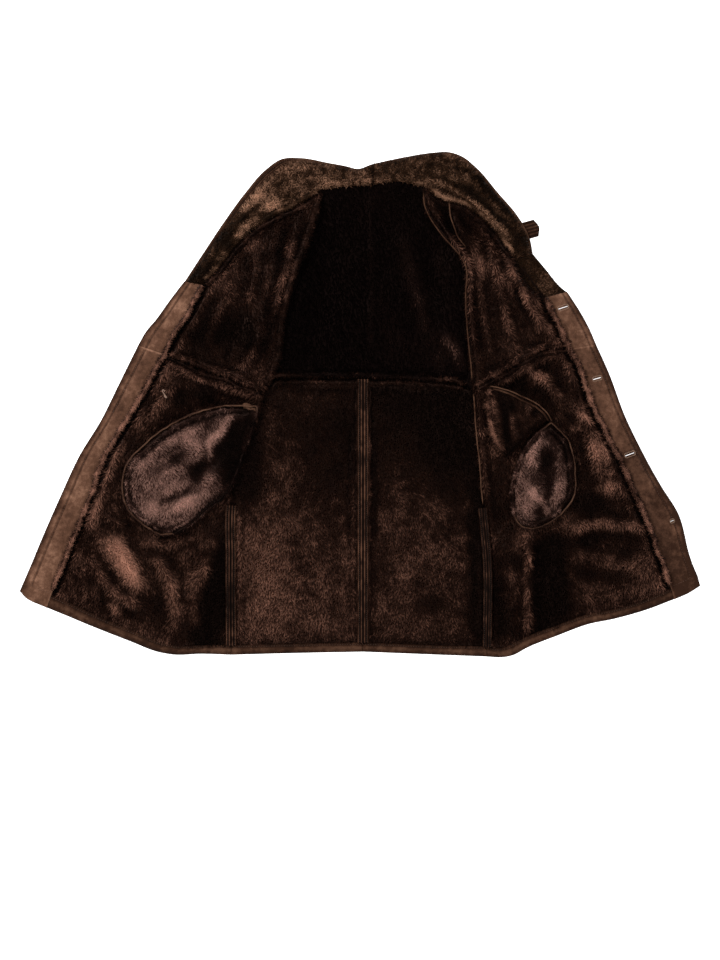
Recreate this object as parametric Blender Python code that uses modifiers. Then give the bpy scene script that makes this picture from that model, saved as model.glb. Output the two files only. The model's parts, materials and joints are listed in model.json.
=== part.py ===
"""A man's half-length shearling coat, lying opened out with the fur side up.

The coat lies on its back on the plane z = 0, neck towards +Y, hem towards -Y.
The wearer's left is +X and the wearer's right is -X. The origin is under the
middle of the coat's box. Each piece that is cut and sewn is one closed wall of
hide: its underside rests on the plane or on the pieces beneath, and its upper
side is its thickness higher. Sleeves and buttons lie flat beneath the fronts.

Plans are in millimetres, as short tables of (x, y) along named seams. A panel
is the smooth patch between its four seams, and two panels that are sewn
together read the same seam.
"""

import math

import bmesh
import bpy
import numpy as np

MM = 0.001

# Thicknesses, in millimetres
BODY_WALL = 7.0            # hide with its clipped pile pressed flat
EDGE_WALL = 4.2            # hide under the facings, pile shaved off
FACING_WALL = 2.5
SLEEVE_WALL = 5.0
BAG_WALL = 5.0
TAPE_WALL = 1.5
HEM_WALL = 6.5
COLLAR_SUEDE = 3.0
COLLAR_FUR = 9.0
COLLAR_CROWN = 7.0         # how much the top collar's middle stands above its edges
TAB_WALL = 4.0
BUTTON_RADIUS = 13.0
BUTTON_WALL = 4.5

# Distances between pieces, in millimetres
SEAM_GAP = 0.4             # between two panels side by side
LAY_GAP = 1.2              # between a draped panel and what it lies on
PLY_GAP = 0.4              # between two flat plies
BACK_TUCK = 10.0           # how far the back's edges reach under the fronts

# How stiff hide bridges what is under it, in millimetres
BRIDGE_FLAT = 27.0         # stays at full height this far past an edge
BRIDGE_SLOPE = 38.0        # and comes down over this length

# How far a small piece feels for the highest point of what it lies on, in millimetres
TUCK_REACH = 25.0
BAG_REACH = 22.0
TAPE_REACH = 15.0

# Grid divisions
UPPER = 9                  # rows from the collar to the waist seam
LOWER = 13                 # rows from the waist seam to the hem
FRONT = 9                  # columns across a front
EDGE = 2                   # columns across a facing
BACK = 5                   # columns across half a back
LAPEL = 3                  # of a front's columns, those along the lapel

# Each seam: how many divisions it has, and its (x, y) points.
SEAMS = {
    # right side: front edge, facing line, waist, side seam, shoulder and armhole
    "right_edge_upper": (UPPER, [(-290, 202), (-316, 168), (-337, 139), (-353, 120), (-366, 97)]),
    "right_edge_lower": (LOWER, [(-366, 97), (-399, 30), (-427, -26), (-464, -87), (-497, -158),
                                 (-526, -224), (-553, -290)]),
    "right_face_upper": (UPPER, [(-261, 196), (-283, 152), (-307, 116), (-323, 82)]),
    "right_face_lower": (LOWER, [(-323, 82), (-346, 41), (-371, -5), (-403, -54), (-420, -84),
                                 (-449, -161), (-486, -251), (-512, -314)]),
    "right_waist": (FRONT, [(-323, 82), (-289, 69), (-256, 54), (-224, 45), (-195, 31), (-158, 20)]),
    "right_side": (LOWER, [(-158, 20), (-168, -26), (-194, -79), (-211, -152), (-213, -257),
                           (-213, -398)]),
    "right_arm": (UPPER, [(-61, 356), (-80, 280), (-106, 211), (-122, 148), (-135, 64),
                          (-158, 20)]),
    # left side
    "left_edge_upper": (UPPER, [(342, 185), (363, 152), (378, 124), (389, 98)]),
    "left_edge_lower": (LOWER, [(389, 98), (410, 51), (437, -21), (464, -76), (497, -135),
                                (525, -180), (547, -258), (558, -284)]),
    "left_face_upper": (UPPER, [(306, 175), (320, 148), (333, 120), (346, 91)]),
    "left_face_lower": (LOWER, [(346, 91), (369, 45), (380, 8), (416, -64), (441, -117),
                                (466, -175), (487, -226), (515, -304)]),
    "left_waist": (FRONT, [(346, 91), (309, 89), (271, 73), (239, 53), (214, 40), (186, 23)]),
    "left_side": (LOWER, [(186, 23), (190, -26), (198, -111), (203, -178), (210, -256),
                          (210, -400)]),
    "left_arm": (UPPER, [(104, 360), (108, 323), (132, 282), (172, 231), (174, 163), (180, 92),
                         (186, 23)]),
    # back
    "back_waist_right": (BACK, [(-158, 20), (-142, 38), (-99, 41), (5, 41)]),
    "back_waist_left": (BACK, [(5, 41), (99, 38), (165, 31), (186, 23)]),
    "centre_back": (LOWER, [(5, 41), (5, -394)]),
    # collar: neckline halves, seams with the fronts, and outer edges
    "neck_right": (BACK, [(21, 363), (-18, 361), (-61, 356)]),
    "neck_left": (BACK, [(21, 363), (58, 369), (104, 360)]),
    "collar_right_front": (FRONT, [(-61, 356), (-106, 327), (-152, 307), (-179, 289), (-208, 260),
                                   (-243, 215), (-261, 196)]),
    "collar_left_front": (FRONT - LAPEL, [(104, 360), (134, 340), (175, 328), (214, 297),
                                          (239, 266), (254, 241)]),
    "collar_right_rim": (BACK + FRONT, [(21, 397), (-5, 389), (-21, 393), (-52, 399), (-97, 407),
                                        (-130, 405), (-154, 389), (-192, 346), (-224, 302),
                                        (-256, 254), (-290, 202)]),
    "collar_left_rim": (BACK + FRONT - LAPEL, [(21, 397), (77, 409), (122, 416), (145, 417),
                                               (168, 410), (191, 392), (229, 348), (259, 312),
                                               (279, 277), (285, 248)]),
    "lapel_rim": (LAPEL, [(285, 248), (304, 226), (333, 192), (342, 185)]),
    "lapel_front": (LAPEL, [(254, 241), (265, 210), (285, 188), (306, 175)]),
    # hem binding: inner and outer line, from the front edges to the side seams
    "right_hem_in_edge": (EDGE, [(-553, -290), (-512, -314)]),
    "right_hem_in": (FRONT, [(-512, -314), (-441, -346), (-375, -374), (-327, -393),
                             (-305, -398), (-262, -398), (-213, -398)]),
    "right_hem_out_edge": (EDGE, [(-562, -309), (-554, -318), (-518, -336)]),
    "right_hem_out": (FRONT, [(-518, -336), (-446, -365), (-380, -391), (-333, -409),
                              (-310, -413), (-262, -412), (-213, -414)]),
    "left_hem_in_edge": (EDGE, [(558, -284), (515, -304)]),
    "left_hem_in": (FRONT, [(515, -304), (459, -327), (408, -341), (380, -346), (317, -368),
                            (271, -386), (246, -398), (231, -403), (210, -400)]),
    "left_hem_out_edge": (EDGE, [(562, -300), (543, -312), (520, -322)]),
    "left_hem_out": (FRONT, [(520, -322), (464, -342), (411, -356), (384, -361), (323, -383),
                             (277, -402), (251, -415), (231, -418), (210, -417)]),
    "back_hem_in_right": (BACK, [(-213, -398), (-99, -396), (5, -394)]),
    "back_hem_in_left": (BACK, [(5, -394), (132, -399), (210, -400)]),
    "back_hem_out_right": (BACK, [(-213, -414), (-99, -411), (5, -409)]),
    "back_hem_out_left": (BACK, [(5, -409), (132, -414), (210, -417)]),
    # sleeves, flat beneath the fronts: the edge over the arm and the edge under it
    "right_sleeve_over": (10, [(-124, 208), (-182, 183), (-256, 135), (-330, 64), (-360, -10),
                               (-373, -76), (-389, -191), (-419, -337)]),
    "right_sleeve_under": (10, [(-172, 10), (-180, -12), (-187, -37), (-200, -85), (-223, -158),
                                (-246, -233), (-266, -323), (-280, -380)]),
    "left_sleeve_over": (10, [(188, 222), (244, 200), (310, 142), (371, 59), (403, -26),
                              (419, -92), (439, -191), (462, -303)]),
    "left_sleeve_under": (10, [(204, 14), (206, -12), (215, -43), (233, -84), (264, -158),
                               (294, -233), (314, -307), (327, -346)]),
    # pocket bags: mouth, two sides and round end
    "right_bag_mouth": (6, [(-167, -3), (-167, -16)]),
    "right_bag_top": (9, [(-167, -3), (-222, -2), (-252, -8), (-287, -20), (-333, -47),
                          (-375, -84)]),
    "right_bag_bottom": (9, [(-167, -16), (-201, -112), (-217, -148), (-252, -175), (-280, -201),
                             (-328, -217), (-361, -198)]),
    "right_bag_end": (6, [(-375, -84), (-388, -107), (-392, -130), (-389, -160), (-380, -179),
                          (-361, -198)]),
    "left_bag_mouth": (5, [(297, -42), (315, -29)]),
    "left_bag_inner": (8, [(297, -42), (275, -67), (260, -96), (251, -125), (249, -163),
                           (254, -190)]),
    "left_bag_outer": (8, [(315, -29), (342, -56), (356, -117), (354, -153), (333, -183)]),
    "left_bag_end": (5, [(254, -190), (266, -204), (278, -207), (305, -201), (333, -183)]),
    # the left bag's neck, folded over on itself
    "left_neck_top": (4, [(211, 30), (238, 25), (268, 13), (298, -2)]),
    "left_neck_inner": (4, [(211, 30), (207, 13), (210, -24), (219, -59), (241, -87)]),
    "left_neck_outer": (4, [(298, -2), (310, -22)]),
    "left_neck_fold": (4, [(241, -87), (264, -65), (290, -36), (310, -22)]),
    # the end of the throat strap
    "strap_root": (2, [(258, 297), (269, 271)]),
    "strap_tip": (2, [(287, 305), (296, 293), (295, 278)]),
    "strap_upper": (3, [(258, 297), (287, 305)]),
    "strap_lower": (3, [(269, 271), (295, 278)]),
}

# Width of the suede rim that shows outside the top collar: at the centre back,
# at the collar's corner and at its end
COLLAR_RIMS = {"right": (2.0, 15.0, 4.0), "left": (2.0, 7.0, 5.0)}
COLLAR_CORNER = 0.42

# Seam tapes: the seam, how much of it is taped, and the tape's width
TAPES = {
    "centre": {"seam": "centre_back", "from": 0.0, "width": 16.0},
    "side_right": {"seam": "right_side", "from": 0.46, "width": 15.0},
    "side_left": {"seam": "left_side", "from": 0.45, "width": 13.0},
}

# Buttonholes: centre, half length, half width, and turn in degrees
BUTTONHOLES = [
    {"x": 335, "y": 159, "half_length": 9.5, "half_width": 1.8, "turn": 18},
    {"x": 391, "y": 42, "half_length": 8.0, "half_width": 1.8, "turn": 16},
    {"x": 445, "y": -83, "half_length": 9.5, "half_width": 1.8, "turn": 20},
    {"x": 516, "y": -193, "half_length": 4.0, "half_width": 1.3, "turn": 22},
]

# Buttons on the outside of the right front, and the height of what they lie on
BUTTONS = [
    {"x": -262, "y": 172, "base": 0.0},
    {"x": -323, "y": 16, "base": 2 * SLEEVE_WALL + 2 * PLY_GAP},
    {"x": -402, "y": -104, "base": 0.0},
    {"x": -447, "y": -203, "base": 0.0},
]

# Soft rolls of the fronts: from, to, half width and height
ROLLS = [
    {"from": (246, -240), "to": (246, -400), "width": 34.0, "height": 13.0},
    {"from": (-232, -240), "to": (-286, -392), "width": 30.0, "height": 6.0},
    {"from": (250, 220), "to": (290, 110), "width": 30.0, "height": 5.0},
    {"from": (-96, 300), "to": (-135, 160), "width": 30.0, "height": 6.0},
]

SUEDE = {"colour": (0.058, 0.026, 0.014), "rough": 0.85}
FUR = {"colour": (0.022, 0.009, 0.006), "rough": 0.6}
TEDDY = {"colour": (0.045, 0.024, 0.012), "rough": 0.8}
HORN = {"colour": (0.025, 0.012, 0.008), "rough": 0.35}


# ---------------------------------------------------------------- plan geometry

def resample(points, count):
    """Return count + 1 points, evenly spaced, on a smooth line through the points."""
    points = np.asarray(points, dtype=float)
    steps = np.hypot(*np.diff(points, axis=0).T)
    reach = np.concatenate([[0.0], np.cumsum(steps)])
    tangents = np.gradient(points, reach, axis=0)
    wanted = np.linspace(0.0, reach[-1], count + 1)
    leg = np.clip(np.searchsorted(reach, wanted, side="right") - 1, 0, len(points) - 2)
    span = steps[leg][:, None]
    t = ((wanted - reach[leg]) / steps[leg])[:, None]
    start = points[leg] * (2 * t**3 - 3 * t**2 + 1) + tangents[leg] * span * (t**3 - 2 * t**2 + t)
    end = points[leg + 1] * (3 * t**2 - 2 * t**3) + tangents[leg + 1] * span * (t**3 - t**2)
    return start + end


def seam(*names):
    """Return the named seams' points as one line. A name after '-' is run backwards."""
    lines = []
    for name in names:
        count, points = SEAMS[name.lstrip("-")]
        line = resample(points, count)
        lines.append(line[::-1] if name.startswith("-") else line)
    return np.concatenate([lines[0]] + [line[1:] for line in lines[1:]])


def straight(start, end, count):
    """Return count + 1 evenly spaced points on a straight line."""
    t = np.linspace(0.0, 1.0, count + 1)[:, None]
    return (1 - t) * start + t * end


def patch(top, bottom, first, last):
    """Return the smooth patch between four lines of points, as a grid.

    Top and bottom run from the first side to the last side, and the sides run
    from top to bottom.
    """
    u = np.linspace(0.0, 1.0, len(top))[None, :, None]
    v = np.linspace(0.0, 1.0, len(first))[:, None, None]
    ruled = (1 - v) * top[None] + v * bottom[None] + (1 - u) * first[:, None] + u * last[:, None]
    corners = ((1 - v) * ((1 - u) * top[0] + u * top[-1])
               + v * ((1 - u) * bottom[0] + u * bottom[-1]))
    return ruled - corners


def strip(first, last, columns):
    """Return the grid of straight columns between two lines of points."""
    u = np.linspace(0.0, 1.0, columns + 1)[None, :, None]
    return (1 - u) * first[:, None] + u * last[:, None]


def inset(grid, gap):
    """Draw the grid's four borders in by the gap."""
    drawn = grid.copy()
    every = slice(None)
    for border, inner in (((0, every), (1, every)), ((-1, every), (-2, every)),
                          ((every, 0), (every, 1)), ((every, -1), (every, -2))):
        inward = grid[inner] - grid[border]
        drawn[border] += gap * inward / np.linalg.norm(inward, axis=-1, keepdims=True)
    return drawn


def border_loop(grid):
    """Return the grid's border as one closed outline."""
    return np.concatenate([grid[0, :-1], grid[:-1, -1], grid[-1, :0:-1], grid[:0:-1, 0]])


def distance_outside(points, outline):
    """Return how far each point lies outside a closed outline, 0 inside it."""
    flat = points.reshape(-1, 1, 2)
    start, end = outline[None], np.roll(outline, -1, axis=0)[None]
    along = end - start
    t = np.clip(((flat - start) * along).sum(-1) / (along**2).sum(-1), 0.0, 1.0)
    nearest = np.linalg.norm(flat - start - t[..., None] * along, axis=-1).min(1)
    above = (start[..., 1] > flat[..., 1]) != (end[..., 1] > flat[..., 1])
    rise = np.where(along[..., 1] == 0, 1.0, along[..., 1])
    crossing = start[..., 0] + (flat[..., 1] - start[..., 1]) * along[..., 0] / rise
    inside = (above & (flat[..., 0] < crossing)).sum(1) % 2 == 1
    return np.where(inside, 0.0, nearest).reshape(points.shape[:-1])


def smooth_step(t):
    """Return the smooth rise from 0 to 1 as t goes from 0 to 1."""
    t = np.clip(t, 0.0, 1.0)
    return t * t * (3 - 2 * t)


def roll_height(points):
    """Return the height that the soft rolls add at each point."""
    height = np.zeros(points.shape[:-1])
    for roll in ROLLS:
        start, end = np.array(roll["from"], float), np.array(roll["to"], float)
        along = end - start
        t = np.clip(((points - start) @ along) / (along @ along), 0.0, 1.0)
        away = np.linalg.norm(points - start - t[..., None] * along, axis=-1)
        height = np.maximum(height, roll["height"] * smooth_step(1 - away / roll["width"]))
    return height


def dense(grid, steps=5):
    """Return points all over a grid of quads, with each quad cut in steps each way."""
    t = np.arange(steps) / steps
    for axis in (0, 1):
        start = np.take(grid, range(grid.shape[axis] - 1), axis)
        end = np.take(grid, range(1, grid.shape[axis]), axis)
        last = np.take(grid, [-1], axis)
        between = [(1 - k) * start + k * end for k in t]
        woven = np.stack(between, axis=axis + 1)
        shape = list(start.shape)
        shape[axis] *= steps
        grid = np.concatenate([woven.reshape(shape), last], axis=axis)
    return grid.reshape(-1, grid.shape[-1])


class Tops:
    """The upper sides of the panels that smaller pieces lie on."""

    def __init__(self):
        self.samples = np.empty((0, 3))

    def add(self, grid, heights):
        """Take in a panel's upper side."""
        surface = np.concatenate([grid, heights[..., None]], axis=-1)
        self.samples = np.concatenate([self.samples, dense(surface)])

    def over(self, points, reach):
        """Return the greatest height of the panels within reach of each point."""
        flat = points.reshape(-1, 1, 2)
        away = np.linalg.norm(flat - self.samples[None, :, :2], axis=-1)
        heights = np.where(away < reach, self.samples[None, :, 2], -LAY_GAP).max(1)
        return heights.reshape(points.shape[:-1])


class Drape:
    """What a panel is laid over: outlines, each with its thickness."""

    def __init__(self, layers=()):
        self.layers = list(layers)

    def add(self, outline, thickness):
        """Put one more piece under the panels that are laid later."""
        self.layers.append((outline, thickness + LAY_GAP))

    def under(self, points):
        """Return the height of the underside of hide laid over the layers."""
        height = np.zeros(points.shape[:-1])
        for outline, thickness in self.layers:
            away = distance_outside(points, outline) - BRIDGE_FLAT
            height += thickness * smooth_step(1 - away / BRIDGE_SLOPE)
        return height


# ---------------------------------------------------------------- solids

def finish_object(name, mesh, collection, finish):
    """Put a mesh in the collection as a named object with its own material."""
    piece = bpy.data.objects.new(name, mesh)
    collection.objects.link(piece)
    made = bpy.data.materials.new(name + "_finish")
    made.use_nodes = True
    shader = made.node_tree.nodes["Principled BSDF"]
    shader.inputs["Base Color"].default_value = (*finish["colour"], 1.0)
    shader.inputs["Roughness"].default_value = finish["rough"]
    shader.inputs["Metallic"].default_value = 0.0
    mesh.materials.append(made)
    return piece


def wall(name, grid, base, thickness, collection, finish):
    """Make a closed wall of hide over a plan grid.

    Base is the underside's height and thickness the wall's, each a number or
    one value for each point of the grid.
    """
    grid = inset(grid, SEAM_GAP / 2)
    rows, columns = grid.shape[0] - 1, grid.shape[1] - 1
    base = np.broadcast_to(base, grid.shape[:2])
    thickness = np.broadcast_to(thickness, grid.shape[:2])
    cloth = bmesh.new()
    bmesh.ops.create_grid(cloth, x_segments=columns, y_segments=rows, size=1.0)
    rises = {}
    for vert in cloth.verts:
        row = round((1 - vert.co.y) / 2 * rows)
        column = round((vert.co.x + 1) / 2 * columns)
        vert.co = (*grid[row, column] * MM, base[row, column] * MM)
        rises[vert.co.to_tuple(7)] = thickness[row, column] * MM
    made = bmesh.ops.extrude_face_region(cloth, geom=cloth.faces[:])
    for part in made["geom"]:
        if isinstance(part, bmesh.types.BMVert):
            part.co.z += rises[part.co.to_tuple(7)]
    bmesh.ops.recalc_face_normals(cloth, faces=cloth.faces[:])
    mesh = bpy.data.meshes.new(name)
    cloth.to_mesh(mesh)
    cloth.free()
    return finish_object(name, mesh, collection, finish)


def button(name, place, collection):
    """Make a turned button: a disc with a rolled rim and a dished middle."""
    profile = [(0.0, 0.75), (0.6, 0.75), (0.8, 1.0), (1.0, 0.6), (0.9, 0.0), (0.0, 0.0)]
    mesh = bpy.data.meshes.new(name)
    mesh.from_pydata([(r * BUTTON_RADIUS * MM, 0.0, h * BUTTON_WALL * MM) for r, h in profile],
                     [(k, k + 1) for k in range(len(profile) - 1)], [])
    piece = finish_object(name, mesh, collection, HORN)
    piece.location = (place["x"] * MM, place["y"] * MM, place["base"] * MM)
    screw = piece.modifiers.new("turn", "SCREW")
    screw.steps = screw.render_steps = 14
    screw.use_merge_vertices = True
    screw.merge_threshold = 0.0001


def buttonhole_cutter(hole, collection):
    """Make the slot that a buttonhole leaves through the facing and the hide."""
    reach = 60.0
    slot = bmesh.new()
    bmesh.ops.create_cube(slot, size=2.0)
    bmesh.ops.scale(slot, vec=(hole["half_length"] * MM, hole["half_width"] * MM, reach * MM),
                    verts=slot.verts[:])
    mesh = bpy.data.meshes.new("buttonhole_cutter")
    slot.to_mesh(mesh)
    slot.free()
    cutter = bpy.data.objects.new("buttonhole_cutter", mesh)
    collection.objects.link(cutter)
    cutter.location = (hole["x"] * MM, hole["y"] * MM, 0.0)
    cutter.rotation_euler = (0.0, 0.0, math.radians(hole["turn"]))
    cutter.hide_render = True
    cutter.display_type = "WIRE"
    return cutter


# ---------------------------------------------------------------- sub-assemblies

def build_sleeve(side, collection, drape):
    """Make a sleeve's under and top panels, flat on each other."""
    grid = strip(seam(f"{side}_sleeve_over"), seam(f"{side}_sleeve_under"), 5)
    wall(f"sleeve_{side}_under", grid, 0.0, SLEEVE_WALL, collection, SUEDE)
    wall(f"sleeve_{side}_top", grid, SLEEVE_WALL + PLY_GAP, SLEEVE_WALL, collection, SUEDE)
    drape.add(border_loop(grid), 2 * SLEEVE_WALL + PLY_GAP)


def build_back(collection, drape, tops):
    """Make the backs and their hem bindings. Return the upper back's outline and top."""
    tuck = BACK_TUCK * np.clip(np.minimum(np.arange(UPPER + 1), np.arange(UPPER, -1, -1)), 0, 1)
    right, left = seam("right_arm"), seam("left_arm")
    right[:, 0] -= tuck
    left[:, 0] += tuck
    upper = patch(seam("-neck_right", "neck_left"), seam("back_waist_right", "back_waist_left"),
                  right, left)
    wall("back_upper", upper, drape.under(upper), BODY_WALL, collection, FUR)
    upper_top = Tops()
    upper_top.add(upper, drape.under(upper) + BODY_WALL)
    for side, first, last in (("right", "right_side", "centre_back"),
                              ("left", "centre_back", "left_side")):
        lower = patch(seam(f"back_waist_{side}"), seam(f"back_hem_in_{side}"), seam(first), seam(last))
        wall(f"back_lower_{side}", lower, drape.under(lower), BODY_WALL, collection, FUR)
        tops.add(lower, drape.under(lower) + BODY_WALL)
        band = strip(seam(f"back_hem_in_{side}"), seam(f"back_hem_out_{side}"), 2)
        wall(f"hem_back_{side}", band, drape.under(band), HEM_WALL, collection, SUEDE)
    return border_loop(upper), upper_top


def build_front(side, top, collection, laid, tops):
    """Make one side's fronts, facings and hem binding.

    Top is the front's seam with the collar, from the facing to the neck, and
    laid gives the height of the underside. Returns the pieces that a buttonhole
    can pass through.
    """

    edge = {part: seam(f"{side}_edge_{part}") for part in ("upper", "lower")}
    face = {part: seam(f"{side}_face_{part}") for part in ("upper", "lower")}
    field = {
        "upper": patch(top, seam(f"{side}_waist"), face["upper"], seam(f"{side}_arm")),
        "lower": patch(seam(f"{side}_waist"), seam(f"{side}_hem_in"), face["lower"],
                       seam(f"{side}_side")),
    }
    pieces = []
    for part, rest in field.items():
        grid = np.concatenate([strip(edge[part], face[part], EDGE)[:, :-1], rest], axis=1)
        thickness = np.full(grid.shape[:2], BODY_WALL)
        thickness[:, :EDGE + 1] = EDGE_WALL
        pieces.append(wall(f"front_{part}_{side}", grid, laid(grid), thickness, collection, FUR))
        tops.add(grid, laid(grid) + thickness)

    corner = seam(f"{side}_hem_out_edge")
    long_edge, long_face = edge["lower"].copy(), face["lower"].copy()
    long_edge[-1], long_face[-1] = corner[0], corner[-1]
    lower_top = straight(long_edge[0], long_face[0], EDGE)
    facings = {
        "upper": strip(edge["upper"], face["upper"], EDGE),
        "lower": patch(lower_top, corner, long_edge, long_face),
    }
    for part, grid in facings.items():
        base = laid(grid) + EDGE_WALL + LAY_GAP
        pieces.append(wall(f"facing_{part}_{side}", grid, base, FACING_WALL, collection, SUEDE))

    band = strip(seam(f"{side}_hem_in_edge", f"{side}_hem_in"),
                 seam(f"{side}_hem_out_edge", f"{side}_hem_out"), 2)
    thickness = np.full(band.shape[:2], HEM_WALL)
    thickness[:EDGE + 1] = EDGE_WALL
    wall(f"hem_front_{side}", band, laid(band), thickness, collection, SUEDE)
    return pieces


def build_collar(collection, drape):
    """Make the suede under collar, the fur top collar and the lapel piece."""
    rows = 3
    for side, rims in COLLAR_RIMS.items():
        rim = seam(f"collar_{side}_rim")
        root = seam(f"neck_{side}", f"collar_{side}_front")
        reach = np.interp(np.linspace(0.0, 1.0, len(rim)), (0.0, COLLAR_CORNER, 1.0), rims)
        inward = (root - rim) / np.linalg.norm(root - rim, axis=1, keepdims=True)
        under = strip(rim, root, rows)
        top = strip(rim + inward * reach[:, None], root, rows)
        wall(f"collar_under_{side}", under, drape.under(under), COLLAR_SUEDE, collection, SUEDE)
        crown = COLLAR_CROWN * np.sin(np.linspace(0.0, math.pi, rows + 1))
        wall(f"collar_fur_{side}", top, drape.under(top) + COLLAR_SUEDE + LAY_GAP,
             COLLAR_FUR + crown, collection, TEDDY)
    lapel = strip(seam("lapel_rim"), seam("lapel_front"), 2)
    wall("lapel_left", lapel, drape.under(lapel), COLLAR_FUR, collection, TEDDY)


def build_strap(collection, drape):
    """Make the end of the throat strap, which the left collar lies on."""
    strap = patch(seam("strap_root"), seam("strap_tip"), seam("strap_upper"), seam("strap_lower"))
    wall("throat_strap", strap, 0.0, TAB_WALL, collection, SUEDE)
    drape.add(border_loop(strap), TAB_WALL)


def build_bags(collection, tops):
    """Make the pocket bags, which lie on the fronts."""
    bags = {
        "bag_right": patch(seam("right_bag_mouth"), seam("right_bag_end"),
                           seam("right_bag_top"), seam("right_bag_bottom")),
        "bag_left": patch(seam("left_bag_mouth"), seam("left_bag_end"),
                          seam("left_bag_inner"), seam("left_bag_outer")),
    }
    for name, grid in bags.items():
        floor = tops.over(grid, BAG_REACH) + LAY_GAP
        wall(f"{name}_under", grid, floor, BAG_WALL, collection, FUR)
        wall(f"{name}_top", grid, floor + BAG_WALL + PLY_GAP, BAG_WALL, collection, FUR)
    neck = patch(seam("left_neck_top"), seam("left_neck_fold"),
                 seam("left_neck_inner"), seam("left_neck_outer"))
    floor = tops.over(neck, BAG_REACH) + LAY_GAP
    wall("bag_left_neck", neck, floor, 2 * BAG_WALL, collection, FUR)


def build_tape(name, tape, collection, tops):
    """Make a seam tape, moved out from the points of its seam."""
    line = seam(tape["seam"])
    line = line[round(tape["from"] * (len(line) - 1)):]
    along = np.gradient(line, axis=0)
    across = np.stack([-along[:, 1], along[:, 0]], axis=1)
    across *= tape["width"] / 2 / np.linalg.norm(across, axis=1, keepdims=True)
    grid = strip(line - across, line + across, 2)
    base = tops.over(grid, TAPE_REACH) + LAY_GAP
    wall(f"tape_{name}", grid, base, TAPE_WALL, collection, SUEDE)


def main():
    """Build the coat from the plane upwards."""
    for old in list(bpy.data.objects):
        bpy.data.objects.remove(old)
    coat = bpy.data.collections.new("shearling_coat")
    cutters = bpy.data.collections.new("cutters")
    bpy.context.scene.collection.children.link(coat)
    bpy.context.scene.collection.children.link(cutters)

    over_sleeves = Drape()
    for side in ("right", "left"):
        build_sleeve(side, coat, over_sleeves)
    tops = Tops()
    back_outline, back_top = build_back(coat, over_sleeves, tops)

    over_back = Drape(over_sleeves.layers)
    over_back.add(back_outline, BODY_WALL)
    for number, place in enumerate(BUTTONS, 1):
        button(f"button_{number}", place, coat)
        angles = np.linspace(0.0, 2 * math.pi, 12, endpoint=False)
        disc = BUTTON_RADIUS * np.stack([np.cos(angles), np.sin(angles)], axis=1)
        over_back.add(disc + (place["x"], place["y"]), BUTTON_WALL)

    def laid(points):
        """Return the height of a front's underside, clear of the back's tucked edges."""
        tucked = back_top.over(points, TUCK_REACH) + LAY_GAP
        return np.maximum(over_back.under(points), tucked) + roll_height(points)

    build_front("right", seam("-collar_right_front"), coat, laid, tops)
    left_pieces = build_front("left", seam("-lapel_front", "-collar_left_front"), coat, laid, tops)
    waist_edge = SEAMS["left_edge_lower"][1][0][1]
    for hole in BUTTONHOLES:
        part = "_upper_" if hole["y"] > waist_edge else "_lower_"
        cutter = buttonhole_cutter(hole, cutters)
        for piece in left_pieces:
            if part in piece.name:
                boolean = piece.modifiers.new("buttonhole", "BOOLEAN")
                boolean.operation = "DIFFERENCE"
                boolean.object = cutter

    over_strap = Drape()
    build_strap(coat, over_strap)
    build_collar(coat, over_strap)
    build_bags(coat, tops)
    for name, tape in TAPES.items():
        build_tape(name, tape, coat, tops)


main()
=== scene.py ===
"""Looks of a man's half-length shearling coat, lying opened out with the fur side up.

Plans are in millimetres, neck towards +Y and hem towards -Y, with the wearer's
left at +X. Each cut panel is a thin closed shell of hide on a plan of two
parameters. The fur is a piece of its own on each panel: many small four-sided
tufts that lean along the nap.
"""

import json
import logging
import math
from dataclasses import dataclass
from enum import Enum
from typing import Callable, Iterable, NamedTuple, Sequence

import bpy
import numpy as np
from numpy.typing import NDArray
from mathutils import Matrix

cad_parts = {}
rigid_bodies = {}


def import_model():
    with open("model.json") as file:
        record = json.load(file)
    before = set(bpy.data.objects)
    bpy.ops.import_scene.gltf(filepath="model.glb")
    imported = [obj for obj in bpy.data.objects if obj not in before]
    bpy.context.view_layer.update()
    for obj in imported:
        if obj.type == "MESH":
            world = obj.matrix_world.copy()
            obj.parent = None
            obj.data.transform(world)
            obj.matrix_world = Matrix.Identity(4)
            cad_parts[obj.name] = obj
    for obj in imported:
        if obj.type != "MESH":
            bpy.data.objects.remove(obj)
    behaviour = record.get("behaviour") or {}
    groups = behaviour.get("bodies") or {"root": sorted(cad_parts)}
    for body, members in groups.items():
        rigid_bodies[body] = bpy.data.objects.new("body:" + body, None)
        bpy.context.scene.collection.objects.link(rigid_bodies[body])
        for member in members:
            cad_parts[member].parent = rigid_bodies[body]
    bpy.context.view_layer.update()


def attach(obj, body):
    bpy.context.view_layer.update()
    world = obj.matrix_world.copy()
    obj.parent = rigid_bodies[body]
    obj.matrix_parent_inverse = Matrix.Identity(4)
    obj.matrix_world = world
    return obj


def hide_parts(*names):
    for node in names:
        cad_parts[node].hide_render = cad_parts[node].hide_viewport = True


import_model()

Object = bpy.types.Object
Material = bpy.types.Material
Socket = bpy.types.NodeSocket
Triple = tuple[float, float, float]
Colour = Triple
Array = NDArray[np.float64]
PlanFunction = Callable[[Array, Array], Array]
HeightFunction = Callable[[Array], Array]

log = logging.getLogger("coat")

MM = 0.001
TINY = 1e-9                # keeps a length that is divided by above 0

# Thicknesses, in millimetres
BODY_WALL = 7.0            # hide with its clipped pile pressed flat
EDGE_WALL = 4.2            # hide under the facings, pile shaved off
FACING_WALL = 2.5
SLEEVE_WALL = 5.0
BAG_WALL = 5.0
TAPE_WALL = 1.5
HEM_WALL = 6.5
COLLAR_SUEDE = 3.0
COLLAR_FUR = 9.0
COLLAR_CROWN = 7.0
TAB_WALL = 4.0
BUTTON_RADIUS = 13.0
BUTTON_WALL = 4.5

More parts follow.
